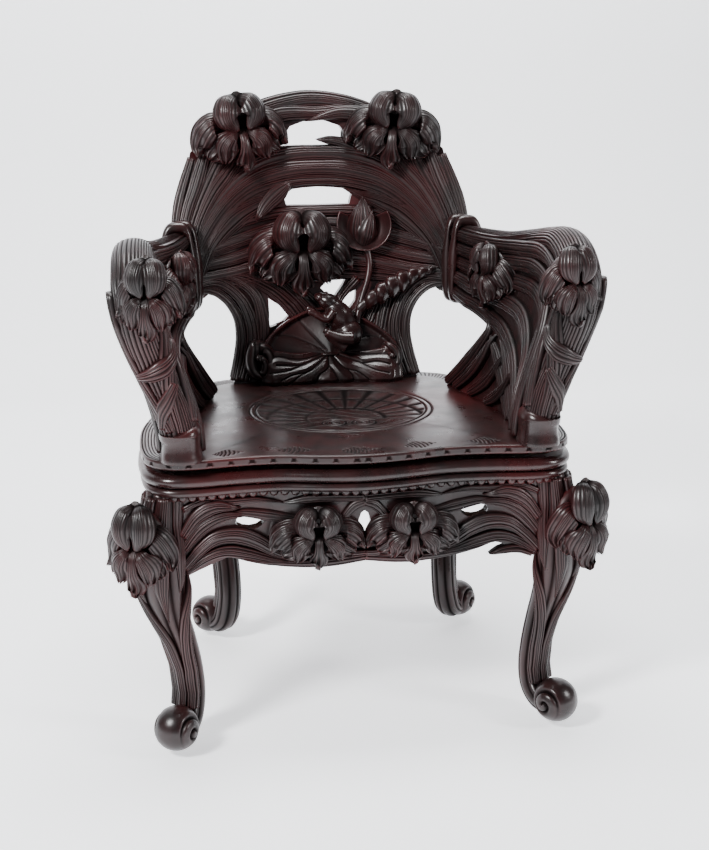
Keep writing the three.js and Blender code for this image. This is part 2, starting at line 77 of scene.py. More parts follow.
# ---- Mesh building ----------------------------------------------------------
class Carving:
    """Closed shells gathered into one mesh. Each point knows how deep in a cut or how far tucked in it lies,
    from 0 to 1, and the lacquer paints that as shade.
    """

    def __init__(self):
        self.points = []
        self.hollows = []
        self.faces = []
        self.count = 0

    def add(self, points, faces, hollow=0.0):
        """Adds points in millimetres and faces that index them."""
        points = np.asarray(points, float).reshape(-1, 3)
        hollow = np.broadcast_to(np.asarray(hollow, float).reshape(-1), (len(points),))
        self.points.append(points)
        self.hollows.append(hollow)
        self.faces.extend([tuple(i + self.count for i in face) for face in faces])
        self.count += len(points)

    def shell(self, front, back, hollow=0.0):
        """A closed sheet between two grids of points."""
        rows, columns = front.shape[:2]
        top = [[r * columns + c for c in range(columns)] for r in range(rows)]
        under = [[rows * columns + i for i in row] for row in top]
        faces = []
        for r in range(rows - 1):
            for c in range(columns - 1):
                faces.append((top[r][c], top[r][c + 1], top[r + 1][c + 1], top[r + 1][c]))
                faces.append((under[r][c], under[r + 1][c], under[r + 1][c + 1], under[r][c + 1]))
        rim = [(0, c) for c in range(columns - 1)] + [(r, columns - 1) for r in range(rows - 1)]
        rim += [(rows - 1, c) for c in range(columns - 1, 0, -1)] + [(r, 0) for r in range(rows - 1, 0, -1)]
        for (r0, c0), (r1, c1) in zip(rim, rim[1:] + rim[:1]):
            faces.append((top[r1][c1], top[r0][c0], under[r0][c0], under[r1][c1]))
        hollow = np.broadcast_to(hollow, (rows, columns)).reshape(-1)
        # The buried back of each shell is marked 0.2: a little painted shade at its rim
        both = np.concatenate([hollow, np.full(rows * columns, 0.2)])
        self.add(np.concatenate([front.reshape(-1, 3), back.reshape(-1, 3)]), faces, both)

    def tube(self, rings, hollow=0.0, looped=False):
        """A closed tube through rings of points, with flat ends or with its last ring joined to its first."""
        count, sides = rings.shape[:2]
        faces = []
        for r in range(count if looped else count - 1):
            s = (r + 1) % count
            for c in range(sides):
                d = (c + 1) % sides
                faces.append((r * sides + c, r * sides + d, s * sides + d, s * sides + c))
        if not looped:
            faces.append(tuple(range(sides - 1, -1, -1)))
            faces.append(tuple((count - 1) * sides + c for c in range(sides)))
        self.add(rings.reshape(-1, 3), faces, np.broadcast_to(hollow, (count, sides)).reshape(-1))

    def object(self, name, material, mirrored=False, sharp=None):
        """The mesh as a scene object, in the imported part's frame."""
        points = np.concatenate(self.points)
        if mirrored:
            points = points * (-1, 1, 1)
        points = (points - (0, MIDDLE_Y, 0)) * 0.001
        mesh = bpy.data.meshes.new(name)
        mesh.from_pydata(points.tolist(), [], self.faces)
        depths = mesh.attributes.new("hollow", "FLOAT", "POINT")
        depths.data.foreach_set("value", np.concatenate(self.hollows))
        build = bmesh.new()
        build.from_mesh(mesh)
        bmesh.ops.recalc_face_normals(build, faces=build.faces)
        build.to_mesh(mesh)
        build.free()
        mesh.shade_smooth()
        if sharp:
            mesh.set_sharp_from_angle(angle=math.radians(sharp))
        mesh.materials.append(material)
        piece = bpy.data.objects.new(name, mesh)
        bpy.context.scene.collection.objects.link(piece)
        return piece


def smoothstep(value, low, high):
    """0 below low, 1 above high and smooth between."""
    t = np.clip((np.asarray(value, float) - low) / (high - low), 0, 1)
    return t * t * (3 - 2 * t)


def spline(stations, count, closed=False):
    """Points evenly spaced along a smooth curve through the stations."""
    knots = np.asarray(stations, float)
    if closed:
        knots = np.concatenate([knots[-1:], knots, knots[:2]])
    else:
        knots = np.concatenate([2 * knots[:1] - knots[1:2], knots, 2 * knots[-1:] - knots[-2:-1]])
    t = np.linspace(0, 1, 24, endpoint=False)[:, None]
    runs = []
    for a, b, c, d in zip(knots, knots[1:], knots[2:], knots[3:]):
        second = 2 * a - 5 * b + 4 * c - d
        third = 3 * b - a - 3 * c + d
        runs.append(0.5 * (2 * b + (c - a) * t + second * t**2 + third * t**3))
    line = np.concatenate(runs + [knots[-2:-1]])
    reach = np.concatenate([[0], np.cumsum(np.linalg.norm(np.diff(line[:, :3], axis=0), axis=1))])
    wanted = np.linspace(0, reach[-1], count, endpoint=not closed)
    return np.stack([np.interp(wanted, reach, line[:, k]) for k in range(line.shape[1])], axis=1)


def unit(vectors):
    """Vectors at length one."""
    return vectors / np.maximum(np.linalg.norm(vectors, axis=-1, keepdims=True), 1e-9)


def spread(values, count):
    """A few values spread smoothly over so many steps."""
    return spline(list(enumerate(values)), count)[:, 1]


def squared(wave, power):
    """A signed power of a sine or cosine: below 1 it swells a circle towards a square."""
    return np.sign(wave) * np.abs(wave) ** power


# ---- The surfaces the carving lies on ----------------------------------------
def back_face(x, z):
    """How far back the leaning, hollow back's front face is."""
    return BACK_FOOT_Y + BACK_LEAN * (z - SEAT_TOP) - BACK_HOLLOW * x * x


def on_back(x, z, out):
    """A single point that stands out from the back's front face."""
    return (x, float(back_face(x, z)) - out, z)


def back_sheet(x, z, out):
    """The front of the back."""
    return np.stack([x, back_face(x, z) - out, z], axis=-1)


def rear_sheet(x, z, out):
    """The rear of the back."""
    return np.stack([x, back_face(x, z) + BACK_THICK + out, z], axis=-1)


def arm_middle(y, z):
    """The right arm's middle plane, upright at the seat and flared at the elbow."""
    low = 268 - 0.0008 * np.clip(y + 20, 0, 245) ** 2
    high = 325 - 0.00049 * np.clip(y + 60, 0, None) ** 2
    flare = smoothstep(z, 450, 700)
    return low + (high - low) * flare


def arm_half(y, z):
    """Half the arm's thickness."""
    post = 1 - smoothstep(y, -130, -70)
    top = smoothstep(z, 650, 700) * (1 - smoothstep(y, 200, 330))
    return 12 + 11 * np.maximum(post, top)


def arm_inside(y, z, out):
    """The right arm's inner face."""
    return np.stack([arm_middle(y, z) - arm_half(y, z) - out, y, z], axis=-1)


def arm_outside(y, z, out):
    """The right arm's outer face."""
    return np.stack([arm_middle(y, z) + arm_half(y, z) + out, y, z], axis=-1)


def apron_face(x):
    """The serpentine front of the front apron."""
    share = np.minimum(1, np.abs(x) / 272) * 4
    return np.interp(share, [0, 1, 2, 3, 4], [-171, -168, -156, -158, -160])


def apron_sheet(x, z, out):
    """The front of the front apron."""
    return np.stack([x, apron_face(x) - out, z], axis=-1)


def side_apron_sheet(u, z, out):
    """The outside of the right side apron, u along it from the front."""
    bow = 10 * np.sin(np.pi * u / 330)
    return np.stack([308 - 0.19 * u + bow + out, -106 + u, z], axis=-1)


def back_apron_sheet(x, z, out):
    """The outside of the back apron."""
    return np.stack([x, 292 - 0.0004 * x * x + out, z], axis=-1)


# ---- Carved elements --------------------------------------------------------
def fluting(across, ribs, phase=0.0):
    """1 in the sharp cuts between uneven rounded ribs and 0 on their tops, for across from -1 to 1."""
    wavy = across + 0.12 * np.sin(5 * across + phase) * (1 - across**2)
    return (1 - np.abs(np.sin(0.5 * np.pi * ribs * (wavy + 1)))) ** 1.3


def blade(carving, sheet, path, widths, lift, tips=BLUNT, pitch=5.4, crown=7.0, cut=3.0, bed=4.0):
    """A long leaf of rounded parallel ribs, lying on a sheet."""
    length = float(np.sum(np.linalg.norm(np.diff(np.asarray(path, float), axis=0), axis=1)))
    steps = max(14, int(length / 4.5))
    line = spline(path, steps)
    along = np.linspace(0, 1, steps)
    width = spread(widths, steps)
    ribs = max(2, int(round(float(np.max(width)) / pitch)))
    taper = np.ones(steps)
    if tips[0]:
        taper = taper * np.clip(along / 0.3, 0.02, 1) ** 0.6
    if tips[1]:
        taper = taper * np.clip((1 - along) / 0.3, 0.02, 1) ** 0.6
    across = np.linspace(-1, 1, 6 * ribs + 1)
    grooves = fluting(across, ribs, path[0][0]) * (0.72 + 0.28 * np.sin(2.3 * ribs * across + path[0][0]))
    tangent = unit(np.gradient(line, axis=0))
    normal = np.stack([-tangent[:, 1], tangent[:, 0]], axis=1)
    half = (width * taper / 2)[:, None] * across[None, :]
    u = line[:, 0:1] + normal[:, 0:1] * half
    v = line[:, 1:2] + normal[:, 1:2] * half
    rise = lift + crown * np.sqrt(1.04 - across**2) - cut * grooves
    out = rise[None, :] * np.clip(taper * 1.6, 0.1, 1)[:, None]
    # Painted shade: the grooves and the leaf's long edges, where it meets its neighbours, are marked to be
    # painted dark
    hollow = np.maximum(grooves, smoothstep(np.abs(across), 0.88, 1.0))
    carving.shell(sheet(u, v, out), sheet(u, v, np.full_like(out, -bed)), hollow)


def lay(carving, sheets, leaves, **shape):
    """Lays every leaf of a table on each sheet: path, widths, lift and, where it has one, its tips."""
    for sheet in sheets:
        for path, widths, lift, *tips in leaves:
            blade(carving, sheet, path, widths, lift, *tips, **shape)


def limb(carving, stations, across, ridges=0, groove=3.0, twist=0.0, rings=90, sides=None, square=1.0):
    """A bar along [x, y, z, half width, half depth] stations, fluted if it has ridges."""
    line = spline(stations, rings)
    sides = sides or max(24, ridges * 7)
    across = np.asarray(across, float)
    tangent = unit(np.gradient(line[:, :3], axis=0))
    wide = unit(across[None, :] - tangent * (tangent @ across)[:, None])
    deep = np.cross(tangent, wide)
    angle = np.linspace(0, TAU, sides, endpoint=False)
    turn = twist * np.linspace(0, 1, rings)[:, None]
    hollow = 0 * (angle[None, :] + turn)
    if ridges:
        uneven = angle[None, :] + turn + 0.1 * np.sin(3 * angle[None, :])
        # The flutes' depth, which also cuts them, marks them for painted shade
        hollow = (1 - np.abs(np.sin(0.5 * ridges * uneven))) ** 1.3
    cut = groove * hollow
    a = (line[:, 3:4] - cut) * squared(np.cos(angle), square)[None, :]
    b = (line[:, 4:5] - cut) * squared(np.sin(angle), square)[None, :]
    skin = line[:, None, :3] + wide[:, None, :] * a[..., None] + deep[:, None, :] * b[..., None]
    carving.tube(skin, hollow)


def ball_grid(columns, rows):
    """Directions on a sphere, poles on the Y axis, as open rings of points."""
    drop = np.linspace(0.02, math.pi - 0.02, rows)[:, None]
    turn = np.linspace(0, TAU, columns, endpoint=False)[None, :]
    x = np.sin(drop) * np.cos(turn)
    z = np.sin(drop) * np.sin(turn)
    return np.stack([x, np.cos(drop) + 0 * turn, z], axis=-1)


def posed(points, at, turn=0.0, tilt=0.0, roll=0.0):
    """Turns points made facing -Y, then moves them."""
    matrix = Matrix.Rotation(turn, 3, "Z") @ Matrix.Rotation(-tilt, 3, "X") @ Matrix.Rotation(roll, 3, "Y")
    return points @ np.array(matrix).T + np.asarray(at, float)


def egg(carving, at, radii, turn=0.0, tilt=0.0, roll=0.0):
    """A plain egg."""
    carving.tube(posed(ball_grid(28, 18) * np.asarray(radii, float), at, turn, tilt, roll))


def petal(carving, place, size, spine, halves, ribs=9, cup=0.35, cut=1.1, ruffle=0.0, core=(0, 0.5, 0)):
    """A ribbed petal along a spine. Spine and half widths are shares of the flower's size."""
    size = np.asarray(size, float)
    steps = 30
    span = 0.5 * (size[0] + size[2])
    line = spline([(*point, half) for point, half in zip(spine, halves)], steps)
    middle = line[:, :3] * size
    tip = np.clip(np.linspace(-2.4, 1, steps), 0, 1)
    half = line[:, 3] * span * np.sqrt(1 - 0.9 * tip**2)
    tangent = unit(np.gradient(middle, axis=0))
    away = middle - np.asarray(core) * size
    face = unit(away - tangent * np.sum(away * tangent, axis=1, keepdims=True))
    side = np.cross(tangent, face)
    across = np.linspace(-1, 1, 5 * ribs + 1)
    u = np.linspace(0, 1, steps)[:, None]
    shown = np.sin(np.pi * np.clip(u, 0.04, 0.97)) ** 0.5
    grooves = fluting(across, ribs)[None, :] * shown
    sink = cup * half[:, None] * across[None, :] ** 2 + cut * grooves
    sink = sink - ruffle * span * np.sin(3.5 * np.pi * across[None, :]) * u**2
    sink = sink - 0.06 * span * tip[:, None] ** 2
    front = middle[:, None, :] + side[:, None, :] * (half[:, None] * across[None, :])[..., None]
    front = front - face[:, None, :] * sink[..., None]
    back = front - face[:, None, :] * PETAL_THICK
    # Painted shade: the grooves and the petal's base, where it tucks into the flower, are marked to be
    # painted dark
    hollow = np.maximum(0.8 * grooves, smoothstep(1 - u, 0.8, 1.0))
    carving.shell(place(front), place(back), hollow)


def iris(carving, at, size, turn=0.0, tilt=0.0, roll=0.0):
    """An iris facing -Y: two standards that close over a throat painted dark as shade, ribbed falls and side
    petals.
    """

    def place(points):
        return posed(points, at, turn, tilt, roll)

    heart = ball_grid(24, 16)
    # Painted shade: the front of the heart, the throat under the standards, is marked to be painted
    # near-black
    carving.tube(place(heart * size * (0.74, 0.5, 0.74)), smoothstep(-heart[..., 1], 0.1, 0.6))
    behind = [(0, -0.2, 0.1), (0, -0.5, 0.5), (0, -0.62, 0.86), (0, -0.5, 0.98)]
    petal(carving, place, size, behind, (0.2, 0.32, 0.34, 0.2))
    for side in (-1, 1):
        drooping = [(0.28 * side, -0.4, 0.22), (0.62 * side, -0.68, 0.34), (0.88 * side, -0.56, 0.1)]
        drooping += [(0.96 * side, -0.3, -0.24), (0.9 * side, -0.42, -0.42)]
        petal(carving, place, size, drooping, (0.16, 0.3, 0.34, 0.3, 0.2), 10, ruffle=0.05)
        low = [(0.2 * side, -0.4, -0.1), (0.5 * side, -0.66, -0.28), (0.74 * side, -0.45, -0.56)]
        petal(carving, place, size, low, (0.14, 0.3, 0.3), ruffle=0.03)
        lobe = [(0.08 * side, -0.8, 0.04), (0.28 * side, -1.06, -0.1), (0.46 * side, -1.0, -0.36)]
        lobe += [(0.44 * side, -0.7, -0.68)]
        petal(carving, place, size, lobe, (0.08, 0.24, 0.36, 0.34), 12, cup=0.7, ruffle=0.05, cut=1.4)
    fall = [(0, -0.76, 0.08), (0, -0.98, -0.18), (0, -0.98, -0.5), (0, -0.74, -0.84), (0.05, -0.84, -0.98)]
    petal(carving, place, size, fall, (0.1, 0.1, 0.14, 0.26, 0.16), 6, cup=0.3, ruffle=0.03, cut=0.8)
    for side in (-1, 1):
        standard = [(0.04 * side, -0.62, 0.94), (0.22 * side, -0.98, 0.86), (0.34 * side, -1.18, 0.54)]
        standard += [(0.3 * side, -1.12, 0.24), (0.12 * side, -0.9, 0.06)]
        hub = (0.1 * side, 0.1, 0.46)
        petal(carving, place, size, standard, (0.18, 0.3, 0.34, 0.3, 0.2), 10, cup=0.7, core=hub)


# ---- Leaves of the back ------------------------------------------------------
def mirrored_path(path):
    """The same path on the other side."""
    return [(-u, v) for u, v in path]


def whole(path):
    """A path that runs on over the middle to its own mirror image."""
    return list(path) + mirrored_path(path[-2::-1])


def both_ways(widths):
    """The widths of a whole path, given those of half."""
    return tuple(widths) + tuple(widths[-2::-1])


STILE_FANS = [
    ([(252, 640), (260, 690), (257, 735), (245, 785), (226, 840)], (14, 22, 24, 22, 18), 2),
    ([(248, 640), (250, 696), (240, 746), (222, 794), (204, 846)], (14, 22, 26, 28, 24), 5),
    ([(242, 646), (236, 706), (218, 758), (194, 806), (172, 846)], (14, 22, 30, 30, 26), 2),
    ([(236, 660), (220, 722), (192, 776), (160, 816), (138, 846)], (12, 22, 30, 30, 24), 5),
]
ARCH_BANDS = [
    ([(236, 664), (206, 732), (162, 786), (112, 822), (58, 838), (0, 842)], (16, 26, 34, 34, 32, 30), 3),
    ([(240, 646), (210, 708), (168, 762), (116, 799), (60, 815), (0, 819)], (16, 26, 30, 30, 28, 26), 6),
    ([(236, 628), (210, 680), (172, 734), (124, 773), (64, 792), (0, 797)], (16, 24, 26, 24, 22, 20), 3),
]
BOARD_EARS = [(222, 628), (200, 684), (158, 732), (116, 756), (82, 767), (44, 783)]
BOARD_BANDS = [
    ([(216, 690), (160, 720), (84, 738), (0, 741)], (20, 22, 20, 18), 1),
    ([(230, 668), (160, 690), (80, 710), (0, 716)], (20, 30, 30, 28), 3),
    ([(236, 650), (160, 662), (80, 682), (0, 688)], (20, 30, 32, 30), 1),
    ([(236, 630), (160, 637), (80, 653), (0, 660)], (20, 28, 32, 32), 3),
    ([(230, 611), (160, 618), (80, 627), (0, 632)], (18, 22, 26, 28), 1),
]
STILE_LEAVES = [
    ([(248, 606), (208, 611), (176, 592), (156, 560), (150, 524), (154, 486), (164, 446)],
     (14, 18, 24, 24, 24), 2),
    ([(240, 616), (190, 622), (152, 594), (134, 556), (130, 520), (138, 482), (150, 446)],
     (14, 20, 28, 26, 26), 5),
    ([(226, 628), (170, 630), (126, 600), (112, 556), (112, 516), (118, 480), (128, 446)],
     (14, 22, 28, 26, 26), 2),
]
FAN_LEAVES = [
    ([(-172, 640), (-120, 622), (-76, 594), (-42, 556), (-20, 516)], (18, 34, 36, 34, 28), 2, BLUNT),
    ([(-130, 650), (-74, 622), (-34, 588), (-6, 556), (20, 516)], (18, 30, 34, 34, 30), 5, BLUNT),
    ([(22, 556), (38, 588), (68, 620)], (10, 16, 20), 2, TIP_FIRST),
    ([(62, 498), (82, 540), (104, 592)], (26, 30, 24), 2, BLUNT),
    ([(100, 498), (108, 545), (122, 600)], (22, 24, 22), 5, BLUNT),
]
CREST_LEAVES = [
    ([(-196, 876), (-140, 905), (-96, 922), (-48, 935), (0, 940), (60, 932), (120, 912)],
     (30, 36, 34, 32, 30, 26), 3),
    ([(200, 872), (144, 902), (96, 914), (48, 918), (0, 916), (-60, 915), (-110, 896)],
     (34, 38, 38, 24, 24, 36), 6),
    ([(204, 860), (150, 880), (96, 894), (62, 888), (54, 862)], (24, 34, 28, 22, 10), 3),
    ([(-204, 860), (-150, 880), (-96, 894), (-62, 888), (-54, 862)], (24, 34, 28, 22, 10), 3),
]


BOTH_FACES = (back_sheet, rear_sheet)


def back_arch(material):
    """The arch and its outer stiles: ribbed leaves that fan out from the straps."""
    carving = Carving()
    for sheet in BOTH_FACES:
        for path, widths, lift in ARCH_BANDS:
            blade(carving, sheet, whole(path), both_ways(widths), lift)
        for path, widths, lift in STILE_FANS:
            blade(carving, sheet, path, widths, lift)
            blade(carving, sheet, mirrored_path(path), widths, lift)
    blade(carving, back_sheet, [(-118, 724), (-92, 758), (-44, 798)], (18, 34, 22), 9, TWO_TIPS)
    blade(carving, back_sheet, [(72, 852), (42, 864), (2, 868)], (14, 18, 12), 1, TIP_LAST, bed=12)
    return carving.object("back_arch_leaves", material)


def centre_board(material):
    """The ribbed board under the arch, and the leaves that fall from it behind the frog."""
    carving = Carving()
    for sheet in BOTH_FACES:
        for path, widths, lift in BOARD_BANDS:
            blade(carving, sheet, whole(path), both_ways(widths), lift)
        for path in (BOARD_EARS, mirrored_path(BOARD_EARS)):
            blade(carving, sheet, path, (12, 28, 36, 46, 46, 14), 4, TIP_LAST)
        lay(carving, [sheet], FAN_LEAVES)
    return carving.object("centre_board_leaves", material)


def lower_stile(material, side):
    """The leaves that curl down from a strap to the seat."""
    carving = Carving()
    lay(carving, BOTH_FACES, STILE_LEAVES)
    return carving.object(f"lower_stile_leaves_{side}", material, side == "left")


def crest_rail(material):
    """The crest's rail: leaves that cross at its middle, one with a free tip."""
    carving = Carving()
    lay(carving, BOTH_FACES, CREST_LEAVES)
    tip = [(150, 892), (96, 908), (44, 915), (-18, 901)]
    blade(carving, back_sheet, tip, (20, 28, 26, 14), 10, TIP_LAST)
    return carving.object("crest_rail_leaves", material)


# ---- Ornaments of the back ---------------------------------------------------
def vein_distance(x, z, veins):
    """How far each point of a leaf lies from its nearest vein."""
    nearest = np.full(x.shape, 1e3)
    for vein in veins:
        for px, pz in spline(vein, 50):
            nearest = np.minimum(nearest, np.hypot(x - px, z - pz))
    return nearest


DRAPE_VEINS = [
    [(-6, 488), (-50, 484), (-84, 487), (-104, 484)],
    [(-4, 486), (-46, 474), (-72, 465), (-104, 461)],
    [(-48, 474), (-66, 474), (-92, 474)],
    [(0, 484), (-26, 466), (-50, 456), (-66, 444)],
    [(-38, 461), (-62, 458), (-84, 449)],
    [(5, 483), (2, 466), (-14, 455), (-20, 443)],
    [(4, 470), (14, 457), (20, 444)],
    [(12, 484), (32, 466), (56, 459), (76, 445)],
    [(38, 464), (46, 453), (48, 444)],
    [(16, 487), (58, 477), (86, 463), (112, 456)],
    [(66, 474), (92, 476), (116, 470)],
    [(20, 489), (66, 489), (98, 487), (120, 484)],
]
FAR_VEINS = [
    [(0, 494), (-34, 510), (-62, 520), (-88, 522)],
    [(2, 496), (-18, 518), (-34, 536), (-46, 550)],
    [(22, 494), (54, 510), (84, 516), (108, 512)],
]


def lotus_leaf(material):
    """A broad lotus leaf: a veined drape hangs to the seat, its far side stands up behind the frog."""
    carving = Carving()
    x, z = np.meshgrid(np.linspace(-118, 138, 240), np.linspace(440.4, 494, 70))
    fall = (494 - z) / 54
    side = smoothstep(np.abs(x - 10), 98, 128)
    top = 3.5 * np.sin(0.055 * x + 1) * (1 - fall) ** 2
    near = vein_distance(x, z, DRAPE_VEINS)
    # The vein cuts are marked for painted shade
    cuts = np.exp(-((near / 1.3) ** 2))
    out = 27 + 24 * np.sin(0.5 * math.pi * np.clip(1.15 * fall, 0, 1))
    out = out + 3 * smoothstep(near, 0, 13) - 2.2 * cuts
    out = out + 1.5 * np.sin(0.09 * x) * fall - 17 * side**2 - 5 * smoothstep(fall, 0.86, 1.0)
    carving.shell(back_sheet(x, z + top, out), back_sheet(x, z, np.full_like(out, -10.0)), cuts)

    bearing = np.linspace(-0.1, math.pi + 0.1, 140)[None, :]
    reach = np.linspace(0.0, 1, 44)[:, None]
    height = 66 + 10 * np.cos(bearing - 2.3) - 6 * np.sin(bearing * 3)
    x = 10 + 126 * reach * np.cos(bearing)
    z = 490 + height * reach * np.sin(bearing)
    cuts = 0.7 * np.exp(-((vein_distance(x, z, FAR_VEINS) / 1.8) ** 2))
    folds = 3 * np.sin(4.5 * bearing + 0.8) * np.sin(np.pi * reach)
    out = 34 - 26 * reach + folds + 10 * smoothstep(reach, 0.86, 0.98) - 2 * cuts
    # Painted shade: the far leaf darkens towards its middle, behind the frog, besides in its veins
    carving.shell(back_sheet(x, z, out), back_sheet(x, z, out - 8), np.maximum(cuts, 0.4 * (1 - reach)))
    egg(carving, on_back(8, 489, 32), (17, 8, 4))

    for side, scale in ((-1, 1.0), (1, 0.75)):
        turns = np.linspace(0, 2.7 * math.pi, 70)
        radius = (25 - 2.2 * turns) * scale
        x = side * (122 - radius * np.cos(turns) * 0.8)
        z = 476 + radius * np.sin(turns) * 1.25
        out = 16 + 2.4 * turns
        thick = np.maximum((14 - 0.9 * turns) * scale, 3)
        rows = zip(x[::4], z[::4], out[::4], thick[::4])
        stations = [(*on_back(a, b, c), d, 1.5 * d) for a, b, c, d in rows]
        limb(carving, stations, (0.9, 0, 0.44), ridges=7, groove=0.8, rings=100, sides=42)
    return carving.object("lotus_leaf_carved", material)


# The upper arm, hand, thigh and foot on one side of the frog: x, z, half width and half depth.
FROG_BONES = [
    [(16, 568, 10, 9), (2, 554, 7, 7), (-18, 563, 6, 6)],
    [(-14, 561, 5, 6), (-24, 568, 4, 7), (-31, 566, 2, 5)],
    [(50, 519, 16, 12), (26, 521, 14, 11), (1, 530, 8, 8)],
    [(1, 531, 7, 7), (14, 515, 6, 7), (36, 501, 4, 8)],
]


def frog(material):
    """A smooth frog in profile, crouched on the lotus leaf and looking up to the left."""
    carving = Carving()
    egg(carving, on_back(29, 553, 36), (25, 21, 37), roll=-0.5)
    egg(carving, on_back(44, 525, 36), (25, 22, 24), roll=-0.3)
    egg(carving, on_back(10, 582, 36), (21, 18, 16), roll=0.4)
    egg(carving, on_back(-4, 590, 36), (14, 13, 9), roll=0.35)
    for out in (27, 45):
        egg(carving, on_back(6, 596, out), (5, 4, 4.5))
    for out in (22, 52):
        for bone in FROG_BONES:
            stations = [(*on_back(x, z, out), wide, deep) for x, z, wide, deep in bone]
            limb(carving, stations, (0, 1, 0))
    piece = carving.object("frog_carved", material)
    remesh = piece.modifiers.new("one_skin", "REMESH")
    remesh.mode = "VOXEL"
    remesh.voxel_size = 0.0015
    remesh.use_smooth_shade = True
    softer = piece.modifiers.new("softer", "SMOOTH")
    softer.iterations = 8
    softer.factor = 0.6
    return piece


def lotus_bud(material):
    """A pointed bud in a round hollow leaf open at its top, on a smooth stem."""
    carving = Carving()
    reach = np.linspace(0.02, 1, 26)[:, None]
    bearing = np.linspace(math.pi - 0.5, TAU + 0.5, 90)[None, :]
    x = 80 + 49 * reach * np.cos(bearing)
    z = 718 + 47 * reach * np.sin(bearing)
    out = 7 + 24 * reach**3
    carving.shell(back_sheet(x, z, out), back_sheet(x, z, out * 0.75 - 5))
    size = (50, 30, 56)

    def place(points):
        return posed(points, (80, on_back(80, 716, 12)[1], 712))

    behind = [(0.16, -0.2, -0.62), (0.34, -0.5, -0.1), (0.26, -0.5, 0.4), (0.02, -0.3, 0.9)]
    petal(carving, place, size, behind, (0.2, 0.42, 0.34, 0.03), 5, cup=0.8, cut=2)
    left = [(-0.1, -0.25, -0.66), (-0.24, -0.62, -0.2), (-0.2, -0.62, 0.35), (-0.02, -0.34, 1.0)]
    petal(carving, place, size, left, (0.26, 0.5, 0.4, 0.03), 7, cup=0.8, cut=2)
    front = [(0.0, -0.5, -0.7), (0.14, -0.92, -0.25), (0.24, -0.8, 0.2), (0.28, -0.5, 0.52)]
    petal(carving, place, size, front, (0.24, 0.42, 0.3, 0.03), 6, cup=0.8, cut=2)
    stem = [
        (*on_back(83, 676, 15), 7.5, 6.5),
        (*on_back(89, 650, 16), 6, 6),
        (*on_back(84, 618, 18), 6, 6),
        (*on_back(71, 580, 18), 6, 6),
        (*on_back(60, 540, 22), 6, 6),
    ]
    limb(carving, stem, (1, 0, 0), rings=40, sides=20)
    return carving.object("lotus_bud_carved", material)


def furled_leaf(material):
    """A leaf rolled into a cone of spiral folds."""
    carving = Carving()
    path = [(212, 640, 1.5), (192, 634, 7), (164, 626, 12), (132, 609, 18)]
    path += [(102, 590, 16), (76, 572, 11), (56, 554, 6)]
    stations = [(*on_back(x, z, 12 + 0.6 * r), r, 0.85 * r) for x, z, r in path]
    line = spline(stations, 170)
    tangent = unit(np.gradient(line[:, :3], axis=0))
    wide = unit(np.cross(tangent, (0.0, -1.0, 0.0)))
    deep = np.cross(tangent, wide)
    angle = np.linspace(0, TAU, 44, endpoint=False)[None, :]
    along = np.linspace(0, 1, 170)[:, None]
    phase = (8.5 * along**0.85 + angle / TAU) % 1
    swell = 0.82 + 0.3 * np.sin(np.pi * np.clip(phase * 0.96, 0, 1) ** 1.6) ** 0.8
    ring = wide[:, None, :] * (line[:, 3:4] * np.cos(angle) * swell)[..., None]
    ring = ring + deep[:, None, :] * (line[:, 4:5] * np.sin(angle) * swell)[..., None]
    carving.tube(line[:, None, :3] + ring)
    return carving.object("furled_leaf_carved", material)


# The irises that come in pairs, as on the right side: name, body, place, size, and turn, tilt and roll.
PAIRED_IRISES = [
    ("crest_iris", "seat", on_back(143, 884, 8), (86, 50, 70), (-0.2, 0.05, 0.1)),
    ("arm_iris", "seat", (300, -184, 682), (46, 40, 60), (0.22, 0.1, 0)),
    ("arm_side_iris", "seat", (272, 140, 652), (62, 32, 56), (-1.25, 0, 0)),
    ("knee_iris", "base", (328, -162, 312), (52, 48, 72), (0.42, 0.05, 0)),
    ("apron_iris", "base", (72, -170, 316), (72, 32, 48), (0, 0, 0)),
]


def flower(name, material, at, size, angles, mirrored=False):
    """One iris as an object of its own."""
    carving = Carving()
    iris(carving, at, size, *angles)
    return carving.object(name, material, mirrored)


# ---- Arms --------------------------------------------------------------------
ARM_LEAVES = [
    ([(336, 702), (250, 698), (150, 699), (50, 706), (-50, 712), (-118, 698), (-146, 660), (-146, 600)],
     (20, 26, 28, 28, 24), 3, TIP_LAST),
    ([(336, 680), (250, 674), (150, 674), (60, 680), (-30, 684), (-96, 668), (-128, 620), (-136, 550),
      (-136, 446)], (20, 26, 28, 28, 26, 22), 6, BLUNT),
    ([(336, 656), (240, 648), (150, 644), (60, 648), (-20, 644), (-82, 616), (-112, 560), (-122, 446)],
     (20, 26, 28, 26, 20), 3, BLUNT),
    ([(336, 632), (250, 622), (170, 614), (90, 612), (10, 602), (-50, 572), (-86, 524), (-106, 445)],
     (20, 26, 28, 26, 20), 6, BLUNT),
    ([(336, 608), (260, 596), (190, 588), (130, 578), (70, 566), (0, 540), (-50, 504), (-88, 444)],
     (18, 22, 26, 24, 18), 3, BLUNT),
    ([(124, 556), (70, 524), (10, 482), (-34, 444)], (14, 30, 30, 24), 0, TIP_FIRST),
    ([(90, 566), (50, 544), (0, 506), (-62, 446)], (14, 28, 30, 24), 1, TIP_FIRST),
]
ARM_BRACE = [
    ([(214, 452), (172, 490), (136, 534), (122, 566), (150, 590)], (18, 26, 26, 20, 14), 4, TIP_LAST),
    ([(184, 450), (140, 484), (110, 520), (92, 560)], (14, 22, 22, 14), 7, TIP_LAST),
    ([(140, 448), (100, 470), (60, 500), (30, 540)], (16, 24, 24, 14), 4, TIP_LAST),
    ([(70, 448), (30, 466), (-10, 492), (-40, 530)], (16, 22, 20, 12), 6, TIP_LAST),
]
